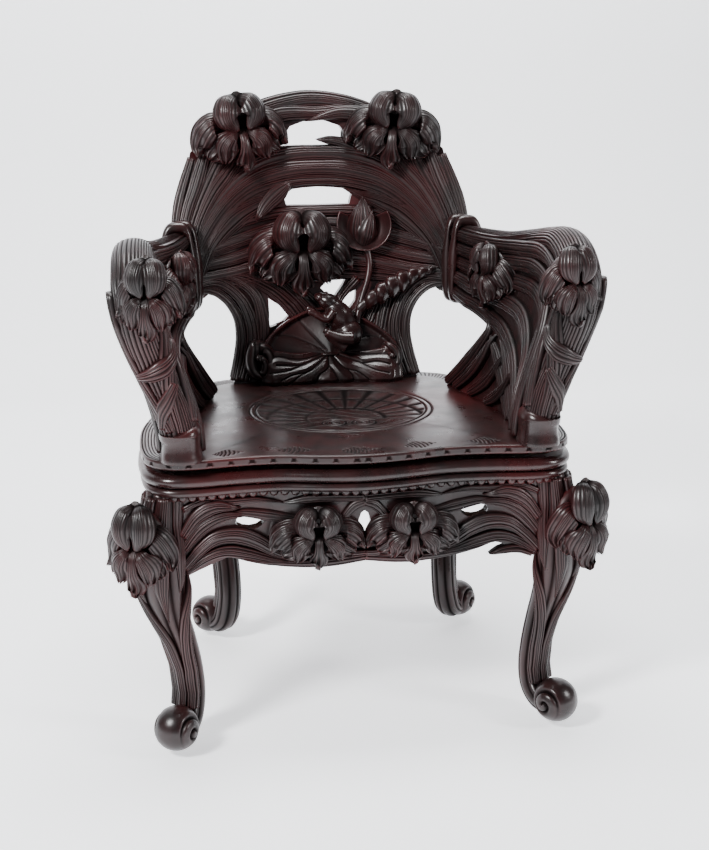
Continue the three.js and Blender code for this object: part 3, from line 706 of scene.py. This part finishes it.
# The top rail and the front of the post: y, z, half width and half depth.
RAIL = [
    (340, 706, 12, 12), (260, 704, 14, 14), (160, 706, 19, 16), (60, 718, 24, 18), (-28, 729, 28, 20),
    (-92, 732, 30, 22), (-140, 716, 31, 24), (-170, 684, 31, 25), (-178, 645, 30, 26), (-170, 600, 29, 26),
    (-162, 545, 27, 26), (-160, 500, 25, 25), (-160, 470, 24, 24),
]
# The squarer part between the post and its cuff, in the same terms.
SHIN = [
    (-160, 444, 27, 30), (-160, 480, 27.5, 30), (-160, 505, 27.5, 28.5),
    (-161, 530, 27, 27), (-163, 565, 21, 21),
]
POST_LEAVES = [
    ([(-44, 700), (-40, 640), (-22, 590), (-6, 540), (-4, 484)], (18, 24, 26, 26, 20), 3, BLUNT),
    ([(40, 690), (44, 630), (40, 580), (26, 530), (14, 486)], (18, 24, 26, 26, 20), 4, BLUNT),
    ([(-66, 690), (-62, 620), (-46, 560), (-34, 500)], (18, 24, 26, 20), 6, BLUNT),
    ([(66, 700), (68, 630), (60, 560), (44, 500)], (18, 24, 26, 20), 2, BLUNT),
    ([(-52, 618), (-24, 592), (8, 574), (46, 566)], (12, 24, 22, 12), 7, TIP_LAST),
    ([(-18, 560), (0, 536), (16, 514), (24, 492)], (12, 22, 20, 14), 6, BLUNT),
]


def post_sheet(u, z, out):
    """The rounded front of the right arm's post: u runs round it from the inner side to the outer."""
    post = np.array(RAIL[:5:-1], float)
    y, wide, deep = (np.interp(z, post[:, 1], post[:, k]) for k in (0, 2, 3))
    angle = u / 30
    x = arm_middle(y, z) + (wide + out) * np.sin(angle)
    return np.stack([x, y - (deep + out) * np.cos(angle), z], axis=-1)


def arm(material, side):
    """An arm: ribbed leaves along both faces, and a fluted rail over the knuckle and down the post."""
    carving = Carving()
    lay(carving, (arm_inside, arm_outside), ARM_LEAVES + ARM_BRACE)
    rail, shin = ([(float(arm_middle(row[0], row[1])), *row) for row in bar] for bar in (RAIL, SHIN))
    limb(carving, rail, (1, 0, 0), ridges=32, groove=2.2, twist=0.5, rings=170, sides=192)
    limb(carving, shin, (1, 0, 0), ridges=30, groove=2.0, rings=60, sides=180, square=0.7)
    for path, widths, lift, tips in POST_LEAVES:
        blade(carving, post_sheet, path, widths, lift - 3, tips)
    return carving.object(f"arm_leaves_{side}", material, side == "left")


def cuff(material, side):
    """The smooth foot of an arm's post, with a lip round its top."""
    carving = Carving()
    stations = [
        (268, -160, 440.3, 31, 38),
        (268, -160, 446, 30.5, 38),
        (268, -160, 458, 28.5, 35.5),
        (268, -160, 470, 28.5, 35),
        (269, -160, 478, 30.5, 36.5),
        (269, -160, 483, 30, 36),
        (270, -160, 486, 22, 26),
    ]
    limb(carving, stations, (1, 0, 0), rings=60, sides=64, square=0.8)
    return carving.object(f"post_cuff_{side}", material, side == "left")


def strap(material, side):
    """The double ring tied round an arm's end."""
    carving = Carving()
    angle = np.linspace(0, TAU, 120, endpoint=False)
    section = np.linspace(0, TAU, 20, endpoint=False)
    for back in (323, 300):
        z = STRAP_Z + STRAP_HALF_HEIGHT * squared(np.sin(angle), 0.6)
        y = back + 0.12 * (z - STRAP_Z)
        out = STRAP_HALF_WIDTH * squared(np.cos(angle), 0.6)
        line = np.stack([arm_middle(y, z) + out, y, z], axis=-1)
        level = np.full_like(z, STRAP_Z)
        away = unit(line - np.stack([arm_middle(y, level), y, level], axis=-1))
        rings = line[:, None, :] + away[:, None, :] * (10 * np.sin(section))[None, :, None]
        rings = rings + np.array([0.0, 1.0, 0.0]) * (11.5 * np.cos(section))[None, :, None]
        carving.tube(rings, looped=True)
    return carving.object(f"strap_{side}", material, side == "left")


# ---- Legs ---------------------------------------------------------------------
FRONT_LEG = [
    (297, -142, 384, 28, 22), (304, -143, 340, 32, 25), (309, -146, 290, 42, 27), (307, -148, 240, 42, 27),
    (297, -150, 195, 33, 24), (283, -152, 152, 26, 22), (274, -152, 112, 23.5, 21), (271, -151, 72, 24, 21),
    (274, -156, 40, 24.5, 22), (281, -176, 24, 24, 21), (290, -204, 22, 20, 18),
]
BACK_LEG = [
    (224, 258, 384, 28, 24), (231, 258, 330, 30, 25), (228, 250, 280, 28, 24), (213, 232, 220, 25, 22),
    (199, 206, 150, 23, 20), (196, 188, 90, 23, 20), (202, 190, 44, 24, 21), (214, 204, 24, 23, 19),
    (228, 220, 22, 18, 16),
]
LEG_LEAVES = [
    ([(-50, 381), (-50, 330), (-46, 280), (-40, 238)], (34, 32, 26, 14), 3, TIP_LAST),
    ([(-64, 272), (-58, 240), (-44, 200), (-30, 156), (-25, 110), (-24, 50)],
     (12, 20, 26, 28, 28, 24), 5, TIP_FIRST),
    ([(-18, 381), (-18, 320), (-14, 262), (-12, 190)], (26, 30, 30, 16), 1, TIP_LAST),
    ([(8, 381), (12, 320), (14, 260), (18, 214)], (22, 24, 22, 10), 4, TIP_LAST),
    ([(52, 300), (44, 250), (26, 205), (8, 156), (2, 110), (0, 50)], (20, 26, 28, 28, 26, 22), 4, BLUNT),
    ([(40, 381), (62, 330), (72, 270), (58, 210), (38, 150), (28, 100), (26, 50)],
     (24, 30, 32, 28, 24), 2, BLUNT),
]
BACK_LEG_LEAVES = [
    ([(-40, 381), (-40, 300), (-30, 220), (-24, 140), (-22, 60)], (30, 30, 28, 26), 0, BLUNT),
    ([(0, 381), (0, 300), (0, 220), (0, 140), (0, 60)], (34, 34, 30, 26), 2, BLUNT),
    ([(40, 381), (40, 300), (30, 220), (24, 140), (22, 60)], (30, 30, 28, 26), 0, BLUNT),
]


def leg_sheet(stations, across):
    """The rounded outer face of a leg: u runs round it, zero facing the chair's corner."""
    upright = stations[:9][::-1] if across[1] > 0 else stations[:7][::-1]
    tall = [row[2] for row in upright]
    facing = np.array([across[1], -across[0]]) if across[1] > 0 else np.array([-across[1], across[0]])

    def sheet(u, z, out):
        x, y, wide, deep = (np.interp(z, tall, [row[k] for row in upright]) for k in (0, 1, 3, 4))
        angle = u / 34
        side = (wide + out) * np.sin(angle)
        ahead = (deep + out) * np.cos(angle)
        x, y = (at + side * across[k] + ahead * facing[k] for k, at in enumerate((x, y)))
        return np.stack([x, y, z], axis=-1)

    return sheet


def scroll_foot(carving, ball, heading):
    """The ball of a scroll foot, with a spiral cut into its two sides."""
    x, y, z, radius = ball
    points = ball_grid(96, 72)
    spin = np.arctan2(points[..., 2], points[..., 0])
    out = np.hypot(points[..., 0], points[..., 2])
    wave = np.cos(TAU * (out * 1.9 - spin / TAU))
    sides = smoothstep(np.abs(points[..., 1]), 0.62, 0.72)
    depth = 0.16 * ((1 + wave) / 2) ** 4 * sides
    flat = posed(points * ((1 - depth) * radius)[..., None], (x, y, z), turn=heading)
    flat[..., 2] = np.maximum(flat[..., 2], 0.0)
    # The spiral's depth marks it for painted shade
    carving.tube(flat, depth / 0.16)


def leg(material, place, side):
    """A cabriole leg: leaf strands over a fluted core whose grooves are painted dark as shade, gathered into
    a smooth scroll foot.
    """
    carving = Carving()
    front = place == "front"
    stations = FRONT_LEG if front else BACK_LEG
    across = (0.84, 0.54, 0) if front else (0.8, -0.6, 0)
    limb(carving, stations, across, ridges=10, groove=2.0, twist=0.3, rings=110, sides=80)
    sheet = leg_sheet(stations, across)
    for path, widths, lift, tips in LEG_LEAVES if front else BACK_LEG_LEAVES:
        blade(carving, sheet, path, widths, lift - 3, tips, cut=2.2, pitch=5)
    ball, heading = (FRONT_BALL, 0.57) if front else (BACK_BALL, -0.64)
    scroll_foot(carving, ball, heading + math.pi / 2)
    return carving.object(f"leg_carved_{place}_{side}", material, side == "left")


# ---- Aprons and mouldings -------------------------------------------------------
APRON_LEAVES = [
    ([(270, 362), (240, 374), (205, 370), (160, 371), (116, 364)], (10, 14, 14, 12, 6), 3, True),
    ([(272, 322), (250, 351), (221, 365), (184, 360)], (14, 22, 22, 14), 8, True),
    ([(210, 352), (176, 351), (140, 344), (104, 338)], (10, 18, 18, 14), 2, False),
    ([(272, 300), (250, 328), (226, 344), (200, 350), (170, 347)], (14, 20, 20, 18, 10), 5, True),
    ([(272, 272), (248, 298), (222, 316), (190, 318), (160, 306), (130, 286), (96, 277)],
     (14, 24, 26, 24, 22, 20, 16), 7, True),
    ([(270, 264), (240, 284), (210, 293), (176, 287), (140, 276), (100, 270)],
     (10, 16, 20, 18, 14, 8), 4, True),
    ([(204, 284), (172, 276), (140, 270), (100, 268), (50, 270), (0, 276)],
     (6, 12, 14, 14, 14, 12), 3, False),
    ([(40, 330), (18, 356), (0, 364)], (10, 16, 14), 5, False),
    ([(40, 292), (20, 284), (0, 284)], (12, 12, 10), 6, False),
    ([(124, 364), (70, 371), (0, 370)], (14, 14, 12), 3, False),
]


def front_apron(material):
    """Leaves that arch from the legs to the two irises."""
    carving = Carving()
    for path, widths, lift, tip in APRON_LEAVES:
        tips = (path[0][0] < 250, tip)
        for run in (path, mirrored_path(path)):
            blade(carving, apron_sheet, run, widths, lift, tips, pitch=4.2, crown=5, cut=2.4)
    free = [(262, 262), (240, 270), (214, 268), (196, 262)]
    blade(carving, apron_sheet, free, (12, 14, 14, 10), 2, TIP_LAST, bed=10)
    return carving.object("apron_leaves_front", material)


def plain_apron(material, name, sheet, start, length, mirrored=False):
    """Low leaves along a side or back apron."""
    carving = Carving()
    for rise, width, lift in ((362, 26, 2), (338, 26, 5), (316, 22, 2)):
        shares = (0.03, 0.25, 0.5, 0.75, 0.97)
        path = [(start + share * length, rise - 22 * abs(2 * share - 1) ** 2) for share in shares]
        blade(carving, sheet, path, (14, width, 16, width, 14), lift, crown=4, cut=2)
    return carving.object(f"apron_leaves_{name}", material, mirrored)


SEAT_HALF = [
    (60, -185), (125, -171), (190, -172), (250, -179), (292, -174), (319, -145), (329, -100), (332, -40),
    (330, 20), (320, 80), (300, 150), (272, 220), (245, 290), (214, 336), (150, 362), (75, 371),
]


def seat_rim(count):
    """Points round the seat's rim from the front's middle, and the way inward at each."""
    left = [(-x, y) for x, y in reversed(SEAT_HALF)]
    line = spline([(0, -191), *SEAT_HALF, (0, 373), *left], count, closed=True)
    tangent = unit(np.roll(line, -1, axis=0) - np.roll(line, 1, axis=0))
    return line, np.stack([-tangent[:, 1], tangent[:, 0]], axis=1)


def torus_run(middle, height, across, tall, count=13):
    """The outward half of a rounded moulding's section, from its top down."""
    angles = np.linspace(0.5 * math.pi, -0.5 * math.pi, count)
    return [(middle - across * math.cos(a), height + tall * math.sin(a)) for a in angles]


def mouldings(material):
    """The two rounded mouldings under the seat, as one run round the base."""
    carving = Carving()
    line, inward = seat_rim(420)
    upper, lower = torus_run(7, 407.5, 10.5, 9.4), torus_run(6, 390.5, 7, 6.6)
    section = np.array([(24, 417), *upper, *lower, (12, 381), (24, 381)])
    rings = np.zeros((420, len(section), 3))
    rings[..., :2] = line[:, None, :] + inward[:, None, :] * section[None, :, 0:1]
    rings[..., 2] = section[None, :, 1]
    carving.tube(rings, looped=True)
    return carving.object("mouldings_smooth", material, sharp=40)


def scallops(material):
    """The small scallops under the lower moulding."""
    carving = Carving()
    line, inward = seat_rim(140)
    grid = ball_grid(14, 7)
    for point, way in zip(line, inward):
        turn = math.atan2(way[1], way[0]) - math.pi / 2
        x, y = point + 9 * way
        carving.tube(posed(grid * (6.8, 4.0, 7.0), (x, y, 383), turn=turn))
    return carving.object("moulding_scallops", material)


# ---- Seat -----------------------------------------------------------------------
def groove(distance, width):
    """A rounded cut of this width where the distance is near zero."""
    return np.exp(-((distance / (0.5 * width)) ** 2))


def spiral(x, y, at, radius):
    """How near points are to a small spiral flower."""
    dx, dy = x - at[0], y - at[1]
    out = np.hypot(dx, dy)
    wave = np.cos(TAU * (out / 9.0) - np.arctan2(dy, dx))
    return np.where(out < radius, ((1 + wave) / 2) ** 4, 0) + groove(out - radius, 3)


def roundel_cuts(x, y):
    """The incised roundel: two rings, a fan of rays, wave lines and two small spirals."""
    dx, dy = x, y - ROUNDEL_Y
    out = np.hypot(dx, dy)
    cut = groove(out - 153, 3.2) + groove(out - 143, 3.2)
    inside = out < 140
    bearing = np.arctan2(dy + 60, dx)
    fan = ((1 + np.cos(26 * bearing)) / 2) ** 3
    ringed = ((1 + np.cos(TAU * np.hypot(dx, dy + 60) / 64)) / 2) ** 14
    right = smoothstep(np.cos(bearing - 0.9), 0.2, 0.6) * (np.hypot(dx, dy + 60) > 52)
    left = smoothstep(np.cos(bearing - 2.35), 0.2, 0.6) * (np.hypot(dx, dy + 60) > 62)
    waves = ((1 + np.cos(TAU * (dy + 22 * np.sin(dx / 26)) / 26)) / 2) ** 8
    pattern = np.maximum(fan, ringed) * np.maximum(right, 0.75 * left)
    pattern = np.maximum(pattern, 0.5 * waves * (1 - np.maximum(right, left)))
    for at in ((-22, ROUNDEL_Y - 92), (26, ROUNDEL_Y - 96)):
        near = np.hypot(x - at[0], y - at[1]) < 24
        pattern = np.where(near, spiral(x, y, at, 20), pattern)
    return np.clip(cut + np.where(inside, pattern, 0), 0, 1)


def border_cuts(x, y, along, inset):
    """The incised border: a fine line, lens-shaped patches of hatching and curved lines on the ears."""
    cut = 0.6 * groove(inset - 5, 1.8)
    place = (along + 48) % 96 - 48
    patch = (np.abs(inset - 32) < 20 * (1 - np.abs(place) / 27)) & (y < -60) & (np.abs(x) < 235)
    hatch = ((1 + np.cos(TAU * (place + 0.15 * np.abs(inset - 32)) / 6.4)) / 2) ** 2
    ears = (np.abs(x) > 262) & (y < 60) & (inset < 40)
    lines = ((1 + np.cos(TAU * (inset - 9) / 4.9)) / 2) ** 3
    rear = (y > 60) & (inset > 12) & (inset < 34)
    chain = ((1 + np.cos(TAU * (along + 0.6 * inset) / 9)) / 2) ** 3
    cut = cut + np.where(patch, hatch, 0) + np.where(ears, 0.8 * lines, 0) + np.where(rear, 0.7 * chain, 0)
    return np.clip(cut, 0, 1)


def seat_edge(line, inward, along):
    """The seat's edge from below its rim to its top, with small square notches cut along it."""
    notch = (along % 31 < 8).astype(float)
    rows = [(30, 426, 0), (6, 426, 0), (1.5, 427, 0), (0.2, 429, 0), (0.2, 431, 0)]
    rows += [(0.2, 431.2, 1), (0.2, 435.8, 1)]
    rows += [(0.2, 436, 0), (0.4, 438, 0), (1.4, 439.5, 0), (2.6, 440, 0)]
    rings = []
    for inset, height, cut in rows:
        flat = line + inward * (inset + 0.6 * cut * notch[:, None])
        rings.append(np.column_stack([flat, np.full(len(line), float(height))]))
    return np.stack(rings), np.stack([0.35 * cut * notch for _, _, cut in rows])


def seat(material):
    """The seat board, with its roundel and border cut into the top."""
    carving = Carving()
    columns = 1400
    line, inward = seat_rim(columns)
    perimeter = float(np.sum(np.linalg.norm(np.roll(line, -1, axis=0) - line, axis=1)))
    along = np.linspace(0, perimeter, columns, endpoint=False)
    insets = np.concatenate([np.linspace(3.4, 54, 64), [57, 60]])[:, None]
    to_middle = unit(np.array([0.0, ROUNDEL_Y]) - line)
    straight = np.where(line[:, 1] < -100, 1 - smoothstep(np.abs(line[:, 0]), 150, 240), 0)
    heading = unit(to_middle + inward * (0.2 + 6 * straight[:, None]))
    ring = line + inward * np.minimum(insets, 14)[..., None] + heading * np.maximum(insets - 14, 0)[..., None]
    cuts = border_cuts(ring[..., 0], ring[..., 1], along[None, :], insets)
    border = np.dstack([ring, SEAT_TOP - 1.3 * cuts])
    bearing = np.arctan2(ring[-1, :, 1] - ROUNDEL_Y, ring[-1, :, 0])
    circle = np.stack([np.cos(bearing), np.sin(bearing)], axis=1) * (ROUNDEL_RADIUS + 3) + (0, ROUNDEL_Y)
    share = np.linspace(0, 1, 14)[1:, None, None]
    plain = ring[-1][None] * (1 - share) + circle[None] * share
    plain = np.dstack([plain, np.full(plain.shape[:2], float(SEAT_TOP))])
    radii = np.linspace(ROUNDEL_RADIUS, 1.0, 120)[:, None]
    disc = np.dstack([radii * np.cos(bearing)[None], radii * np.sin(bearing)[None] + ROUNDEL_Y])
    pattern = roundel_cuts(disc[..., 0], disc[..., 1])
    roundel = np.dstack([disc, SEAT_TOP - 0.6 - 1.8 * pattern])
    edge, notches = seat_edge(line, inward, along)
    # Painted shade: the notches and the cuts of the border and the roundel are marked to be painted dark
    hollow = np.concatenate([notches, cuts, np.zeros(plain.shape[:2]), pattern])
    carving.tube(np.concatenate([edge, border, plain, roundel]), hollow)
    return carving.object("seat_carved", material, sharp=60)


# ---- Materials --------------------------------------------------------------------
class Nodes:
    """A small helper for building one material's node tree."""

    def __init__(self, name):
        self.material = bpy.data.materials.new(name)
        self.material.use_nodes = True
        self.tree = self.material.node_tree
        self.surface = self.tree.nodes["Principled BSDF"]
        self.place = self.tree.nodes.new("ShaderNodeTexCoord").outputs["Object"]

    def link(self, source, target):
        self.tree.links.new(source, target)

    def noise(self, scale, detail=6.0, stretch=(1, 1, 1)):
        mapping = self.tree.nodes.new("ShaderNodeMapping")
        mapping.inputs["Scale"].default_value = stretch
        self.link(self.place, mapping.inputs["Vector"])
        node = self.tree.nodes.new("ShaderNodeTexNoise")
        node.inputs["Scale"].default_value = scale
        node.inputs["Detail"].default_value = detail
        self.link(mapping.outputs["Vector"], node.inputs["Vector"])
        return node.outputs["Fac"]

    def ramp(self, source, stops):
        node = self.tree.nodes.new("ShaderNodeValToRGB")
        while len(node.color_ramp.elements) < len(stops):
            node.color_ramp.elements.new(0.5)
        for element, (at, colour) in zip(node.color_ramp.elements, stops):
            element.position = at
            element.color = (*colour, 1) if len(colour) == 3 else (colour[0],) * 3 + (1,)
        self.link(source, node.inputs["Fac"])
        return node.outputs["Color"]

    def mix(self, share, first, second, blend="MIX"):
        node = self.tree.nodes.new("ShaderNodeMix")
        node.data_type = "RGBA"
        node.blend_type = blend
        for value, socket in ((share, node.inputs[0]), (first, node.inputs[6]), (second, node.inputs[7])):
            if isinstance(value, (int, float)):
                socket.default_value = value
            elif isinstance(value, tuple):
                socket.default_value = (*value, 1)
            else:
                self.link(value, socket)
        return node.outputs[2]

    def hollow(self):
        """How deep in a cut a point lies: the mask for the painted shade."""
        node = self.tree.nodes.new("ShaderNodeAttribute")
        node.attribute_name = "hollow"
        return node.outputs["Fac"]

    def most(self, first, second):
        return self.times(first, second, "MAXIMUM")

    def times(self, first, second, operation="MULTIPLY"):
        node = self.tree.nodes.new("ShaderNodeMath")
        node.operation = operation
        self.link(first, node.inputs[0])
        if isinstance(second, (int, float)):
            node.inputs[1].default_value = second
        else:
            self.link(second, node.inputs[1])
        return node.outputs[0]

    def bump(self, height, strength, distance):
        node = self.tree.nodes.new("ShaderNodeBump")
        node.inputs["Strength"].default_value = strength
        node.inputs["Distance"].default_value = distance
        self.link(height, node.inputs["Height"])
        self.link(node.outputs["Normal"], self.surface.inputs["Normal"])


def lacquer(name, dark, red, wear=0.6, gloss=0.29):
    """Near-black lacquer that has worn to red on its high edges, with painted shade that darkens its hollows
    nearly to black.
    """
    nodes = Nodes(name)
    grain = nodes.noise(38, 8, (1, 1, 0.18))
    cloud = nodes.noise(6, 4)
    speck = nodes.noise(90, 4)
    warm = tuple(0.8 * a + 0.2 * b for a, b in zip(dark, red))
    base = nodes.mix(nodes.ramp(grain, [(0.3, (0,)), (0.72, (1,))]), dark, warm)
    base = nodes.mix(nodes.ramp(cloud, [(0.5, (0,)), (0.68, (0.7,))]), base, tuple(0.45 * c for c in red))
    point = nodes.tree.nodes.new("ShaderNodeNewGeometry").outputs["Pointiness"]
    ridge = nodes.ramp(point, [(0.51, (0,)), (0.57, (1,))])
    rubbed = nodes.times(ridge, nodes.ramp(cloud, [(0.42, (0.08,)), (0.64, (1,))]))
    base = nodes.mix(nodes.times(rubbed, wear), base, red)
    chipped = nodes.ramp(speck, [(0.7, (0,)), (0.74, (1,))])
    chip = nodes.times(chipped, nodes.ramp(point, [(0.57, (0,)), (0.63, (1,))]))
    base = nodes.mix(chip, base, (0.30, 0.06, 0.02))
    # Painted shade: concave spots (low pointiness) and the marked cuts, edges and tucked-in parts go nearly
    # black
    hollow = nodes.most(nodes.ramp(point, [(0.43, (1,)), (0.49, (0,))]), nodes.hollow())
    base = nodes.mix(nodes.times(hollow, 0.92), base, (0.0012, 0.001, 0.001))
    nodes.link(base, nodes.surface.inputs["Base Color"])
    rough = nodes.ramp(nodes.noise(22, 6), [(0.3, (gloss - 0.03,)), (0.7, (gloss + 0.09,))])
    rough_hollows = nodes.mix(hollow, rough, (0.8, 0.8, 0.8))
    nodes.link(rough_hollows, nodes.surface.inputs["Roughness"])
    # Reflection is dimmed in the same hollows, as part of the painted shade
    shine = nodes.ramp(hollow, [(0.0, (0.5,)), (0.8, (0.06,))])
    nodes.link(shine, nodes.surface.inputs["Specular IOR Level"])
    nodes.bump(nodes.noise(260, 8, (1, 1, 0.25)), 0.2, 0.0008)
    return nodes.material


def raw_wood(name):
    """Plain inner wood with a straight grain."""
    nodes = Nodes(name)
    grain = nodes.noise(30, 8, (0.12, 1, 1))
    colour = nodes.ramp(grain, [(0.3, (0.05, 0.022, 0.014)), (0.7, (0.13, 0.06, 0.035))])
    nodes.link(colour, nodes.surface.inputs["Base Color"])
    rough = nodes.ramp(nodes.noise(60), [(0.3, (0.6,)), (0.7, (0.8,))])
    nodes.link(rough, nodes.surface.inputs["Roughness"])
    nodes.bump(grain, 0.3, 0.001)
    return nodes.material


def iron(name):
    """Dark oiled iron with a trace of rust."""
    nodes = Nodes(name)
    stain = nodes.noise(45, 8)
    colour = nodes.ramp(stain, [(0.4, (0.045, 0.043, 0.04)), (0.75, (0.12, 0.05, 0.025))])
    nodes.link(colour, nodes.surface.inputs["Base Color"])
    nodes.link(nodes.ramp(stain, [(0.3, (0.35,)), (0.7, (0.7,))]), nodes.surface.inputs["Roughness"])
    nodes.surface.inputs["Metallic"].default_value = 0.85
    nodes.bump(nodes.noise(300), 0.2, 0.0005)
    return nodes.material


def studio(name):
    """The pale, faintly mottled paper of the backdrop."""
    nodes = Nodes(name)
    colour = nodes.ramp(nodes.noise(1.4, 3), [(0.3, (0.90, 0.91, 0.93)), (0.7, (0.92, 0.93, 0.95))])
    nodes.link(colour, nodes.surface.inputs["Base Color"])
    nodes.surface.inputs["Roughness"].default_value = 0.7
    nodes.surface.inputs["Emission Color"].default_value = (0.96, 0.97, 1.0, 1)
    nodes.surface.inputs["Emission Strength"].default_value = 0.86
    return nodes.material


# ---- Assembly -----------------------------------------------------------------------
def settle(piece, body, *replaced, slot="dark_hardwood"):
    """Lets a piece ride on a body and stand for the CAD nodes it replaces."""
    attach(piece, body)
    if replaced:
        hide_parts(*replaced)


def dress_cad(wood, plain, metal):
    """Better materials for the CAD nodes that stay."""
    for name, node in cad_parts.items():
        material = wood
        if name.startswith("swivel"):
            material = metal
        elif name.startswith(("corner", "base_deck")):
            material = plain
        node.data.materials.clear()
        node.data.materials.append(material)


def build_back(wood, smooth):
    settle(back_arch(wood), "seat")
    settle(centre_board(wood), "seat")
    settle(crest_rail(wood), "seat")
    for side in SIDES:
        settle(lower_stile(wood, side), "seat")
    settle(lotus_leaf(smooth), "seat", "lotus_leaf")
    settle(frog(smooth), "seat", "frog")
    settle(lotus_bud(wood), "seat", "iris_bud")
    settle(furled_leaf(wood), "seat", "furled_leaf")


def build_irises(wood):
    centre = flower("centre_iris_carved", wood, on_back(-38, 672, 10), (96, 54, 78), (0.05, 0, 0))
    settle(centre, "seat", "centre_iris")
    for name, body, at, size, angles in PAIRED_IRISES:
        for side in SIDES:
            bloom = flower(f"{name}_carved_{side}", wood, at, size, angles, side == "left")
            settle(bloom, body, f"{name}_{side}")


def build_arms(wood, smooth):
    for side in SIDES:
        settle(arm(wood, side), "seat")
        settle(cuff(smooth, side), "seat")
        settle(strap(smooth, side), "seat")


def build_base(wood, smooth):
    for side in SIDES:
        settle(leg(wood, "front", side), "base", f"leg_front_{side}")
        settle(leg(wood, "back", side), "base", f"leg_back_{side}")
        settle(plain_apron(wood, side, side_apron_sheet, -18, 366, side == "left"), "base")
    settle(plain_apron(wood, "back", back_apron_sheet, -220, 440), "base")
    settle(front_apron(wood), "base")
    names = [f"moulding_{place}" for place in ("front", "back", "left", "right")]
    settle(mouldings(smooth), "base", *names)
    settle(scallops(smooth), "base")


def build_studio():
    """A pale floor that curves up into a backdrop."""
    line = [(-6.0, 0.0), (1.2, 0.0), (2.2, 0.12), (3.0, 0.7), (3.4, 1.6), (3.6, 6.0)]
    profile = spline(line, 60)
    mesh = bpy.data.meshes.new("backdrop")
    points = [(x, y, z) for x in (-7, 7) for y, z in profile]
    faces = [(i, i + 1, i + 61, i + 60) for i in range(59)]
    mesh.from_pydata(points, [], faces)
    mesh.shade_smooth()
    mesh.materials.append(studio("studio_paper"))
    floor = bpy.data.objects.new("backdrop", mesh)
    bpy.context.scene.collection.objects.link(floor)


def light(name, at, aim, size, power, colour=(1, 1, 1)):
    """A large soft lamp."""
    lamp = bpy.data.lights.new(name, "AREA")
    lamp.shape = "RECTANGLE"
    lamp.size, lamp.size_y = size
    lamp.energy = power
    lamp.color = colour
    stand = bpy.data.objects.new(name, lamp)
    stand.location = at
    stand.rotation_euler = (Vector(aim) - Vector(at)).to_track_quat("-Z", "Y").to_euler()
    bpy.context.scene.collection.objects.link(stand)


def build_world():
    """Dim light from all round, paler near the floor than overhead."""
    world = bpy.data.worlds.new("studio")
    world.use_nodes = True
    tree = world.node_tree
    height = tree.nodes.new("ShaderNodeSeparateXYZ")
    tree.links.new(tree.nodes.new("ShaderNodeTexCoord").outputs["Generated"], height.inputs["Vector"])
    ramp = tree.nodes.new("ShaderNodeValToRGB")
    ramp.color_ramp.elements[0].color = (0.45, 0.46, 0.48, 1)
    ramp.color_ramp.elements[1].color = (0.05, 0.052, 0.056, 1)
    ramp.color_ramp.elements[1].position = 0.45
    tree.links.new(height.outputs["Z"], ramp.inputs["Fac"])
    tree.links.new(ramp.outputs["Color"], tree.nodes["Background"].inputs["Color"])
    bpy.context.scene.world = world


def build_lights():
    light("key_left", (-2.2, -1.8, 2.6), (0, 0, 0.5), (0.7, 0.7), 190)
    light("fill_right", (2.6, -1.6, 1.8), (0, 0, 0.5), (0.6, 1.2), 62)
    light("overhead", (0, 0.4, 3.2), (0, 0, 0.4), (1.3, 0.9), 85)
    light("backdrop_wash", (0, 1.2, 3.4), (0, 3.4, 1.2), (4.0, 1.0), 90)


def build_camera():
    """The camera of the view from the front, slightly to the left and above."""
    yaw, pitch, roll = (math.radians(angle) for angle in CAMERA_ANGLES)
    level = math.cos(pitch)
    ahead = Vector((math.sin(yaw) * level, math.cos(yaw) * level, -math.sin(pitch)))
    right = Vector((math.cos(yaw), -math.sin(yaw), 0))
    up = right.cross(ahead)
    tilted = right * math.cos(roll) + up * math.sin(roll)
    upright = up * math.cos(roll) - right * math.sin(roll)
    camera = bpy.data.cameras.new("camera")
    camera.lens = CAMERA_LENS
    camera.sensor_width = 36
    holder = bpy.data.objects.new("camera", camera)
    turn = Matrix((tilted, upright, -ahead)).transposed().to_4x4()
    place = Vector(CAMERA_PLACE) - Vector((0, 0.001 * MIDDLE_Y, 0))
    holder.matrix_world = Matrix.Translation(place) @ turn
    bpy.context.scene.collection.objects.link(holder)
    bpy.context.scene.camera = holder


wood = lacquer("carved_lacquer", (0.005, 0.0036, 0.0036), (0.075, 0.0115, 0.013))
smooth = lacquer("smooth_lacquer", (0.007, 0.0045, 0.0045), (0.085, 0.013, 0.014), wear=0.5, gloss=0.26)
seat_wood = lacquer("seat_lacquer", (0.008, 0.0045, 0.0045), (0.10, 0.014, 0.015), wear=0.5, gloss=0.28)
dress_cad(wood, raw_wood("raw_wood"), iron("oiled_iron"))
build_back(wood, smooth)
build_irises(wood)
build_arms(wood, smooth)
build_base(wood, smooth)
settle(seat(seat_wood), "seat", "seat_board")
build_studio()
build_world()
build_lights()
build_camera()
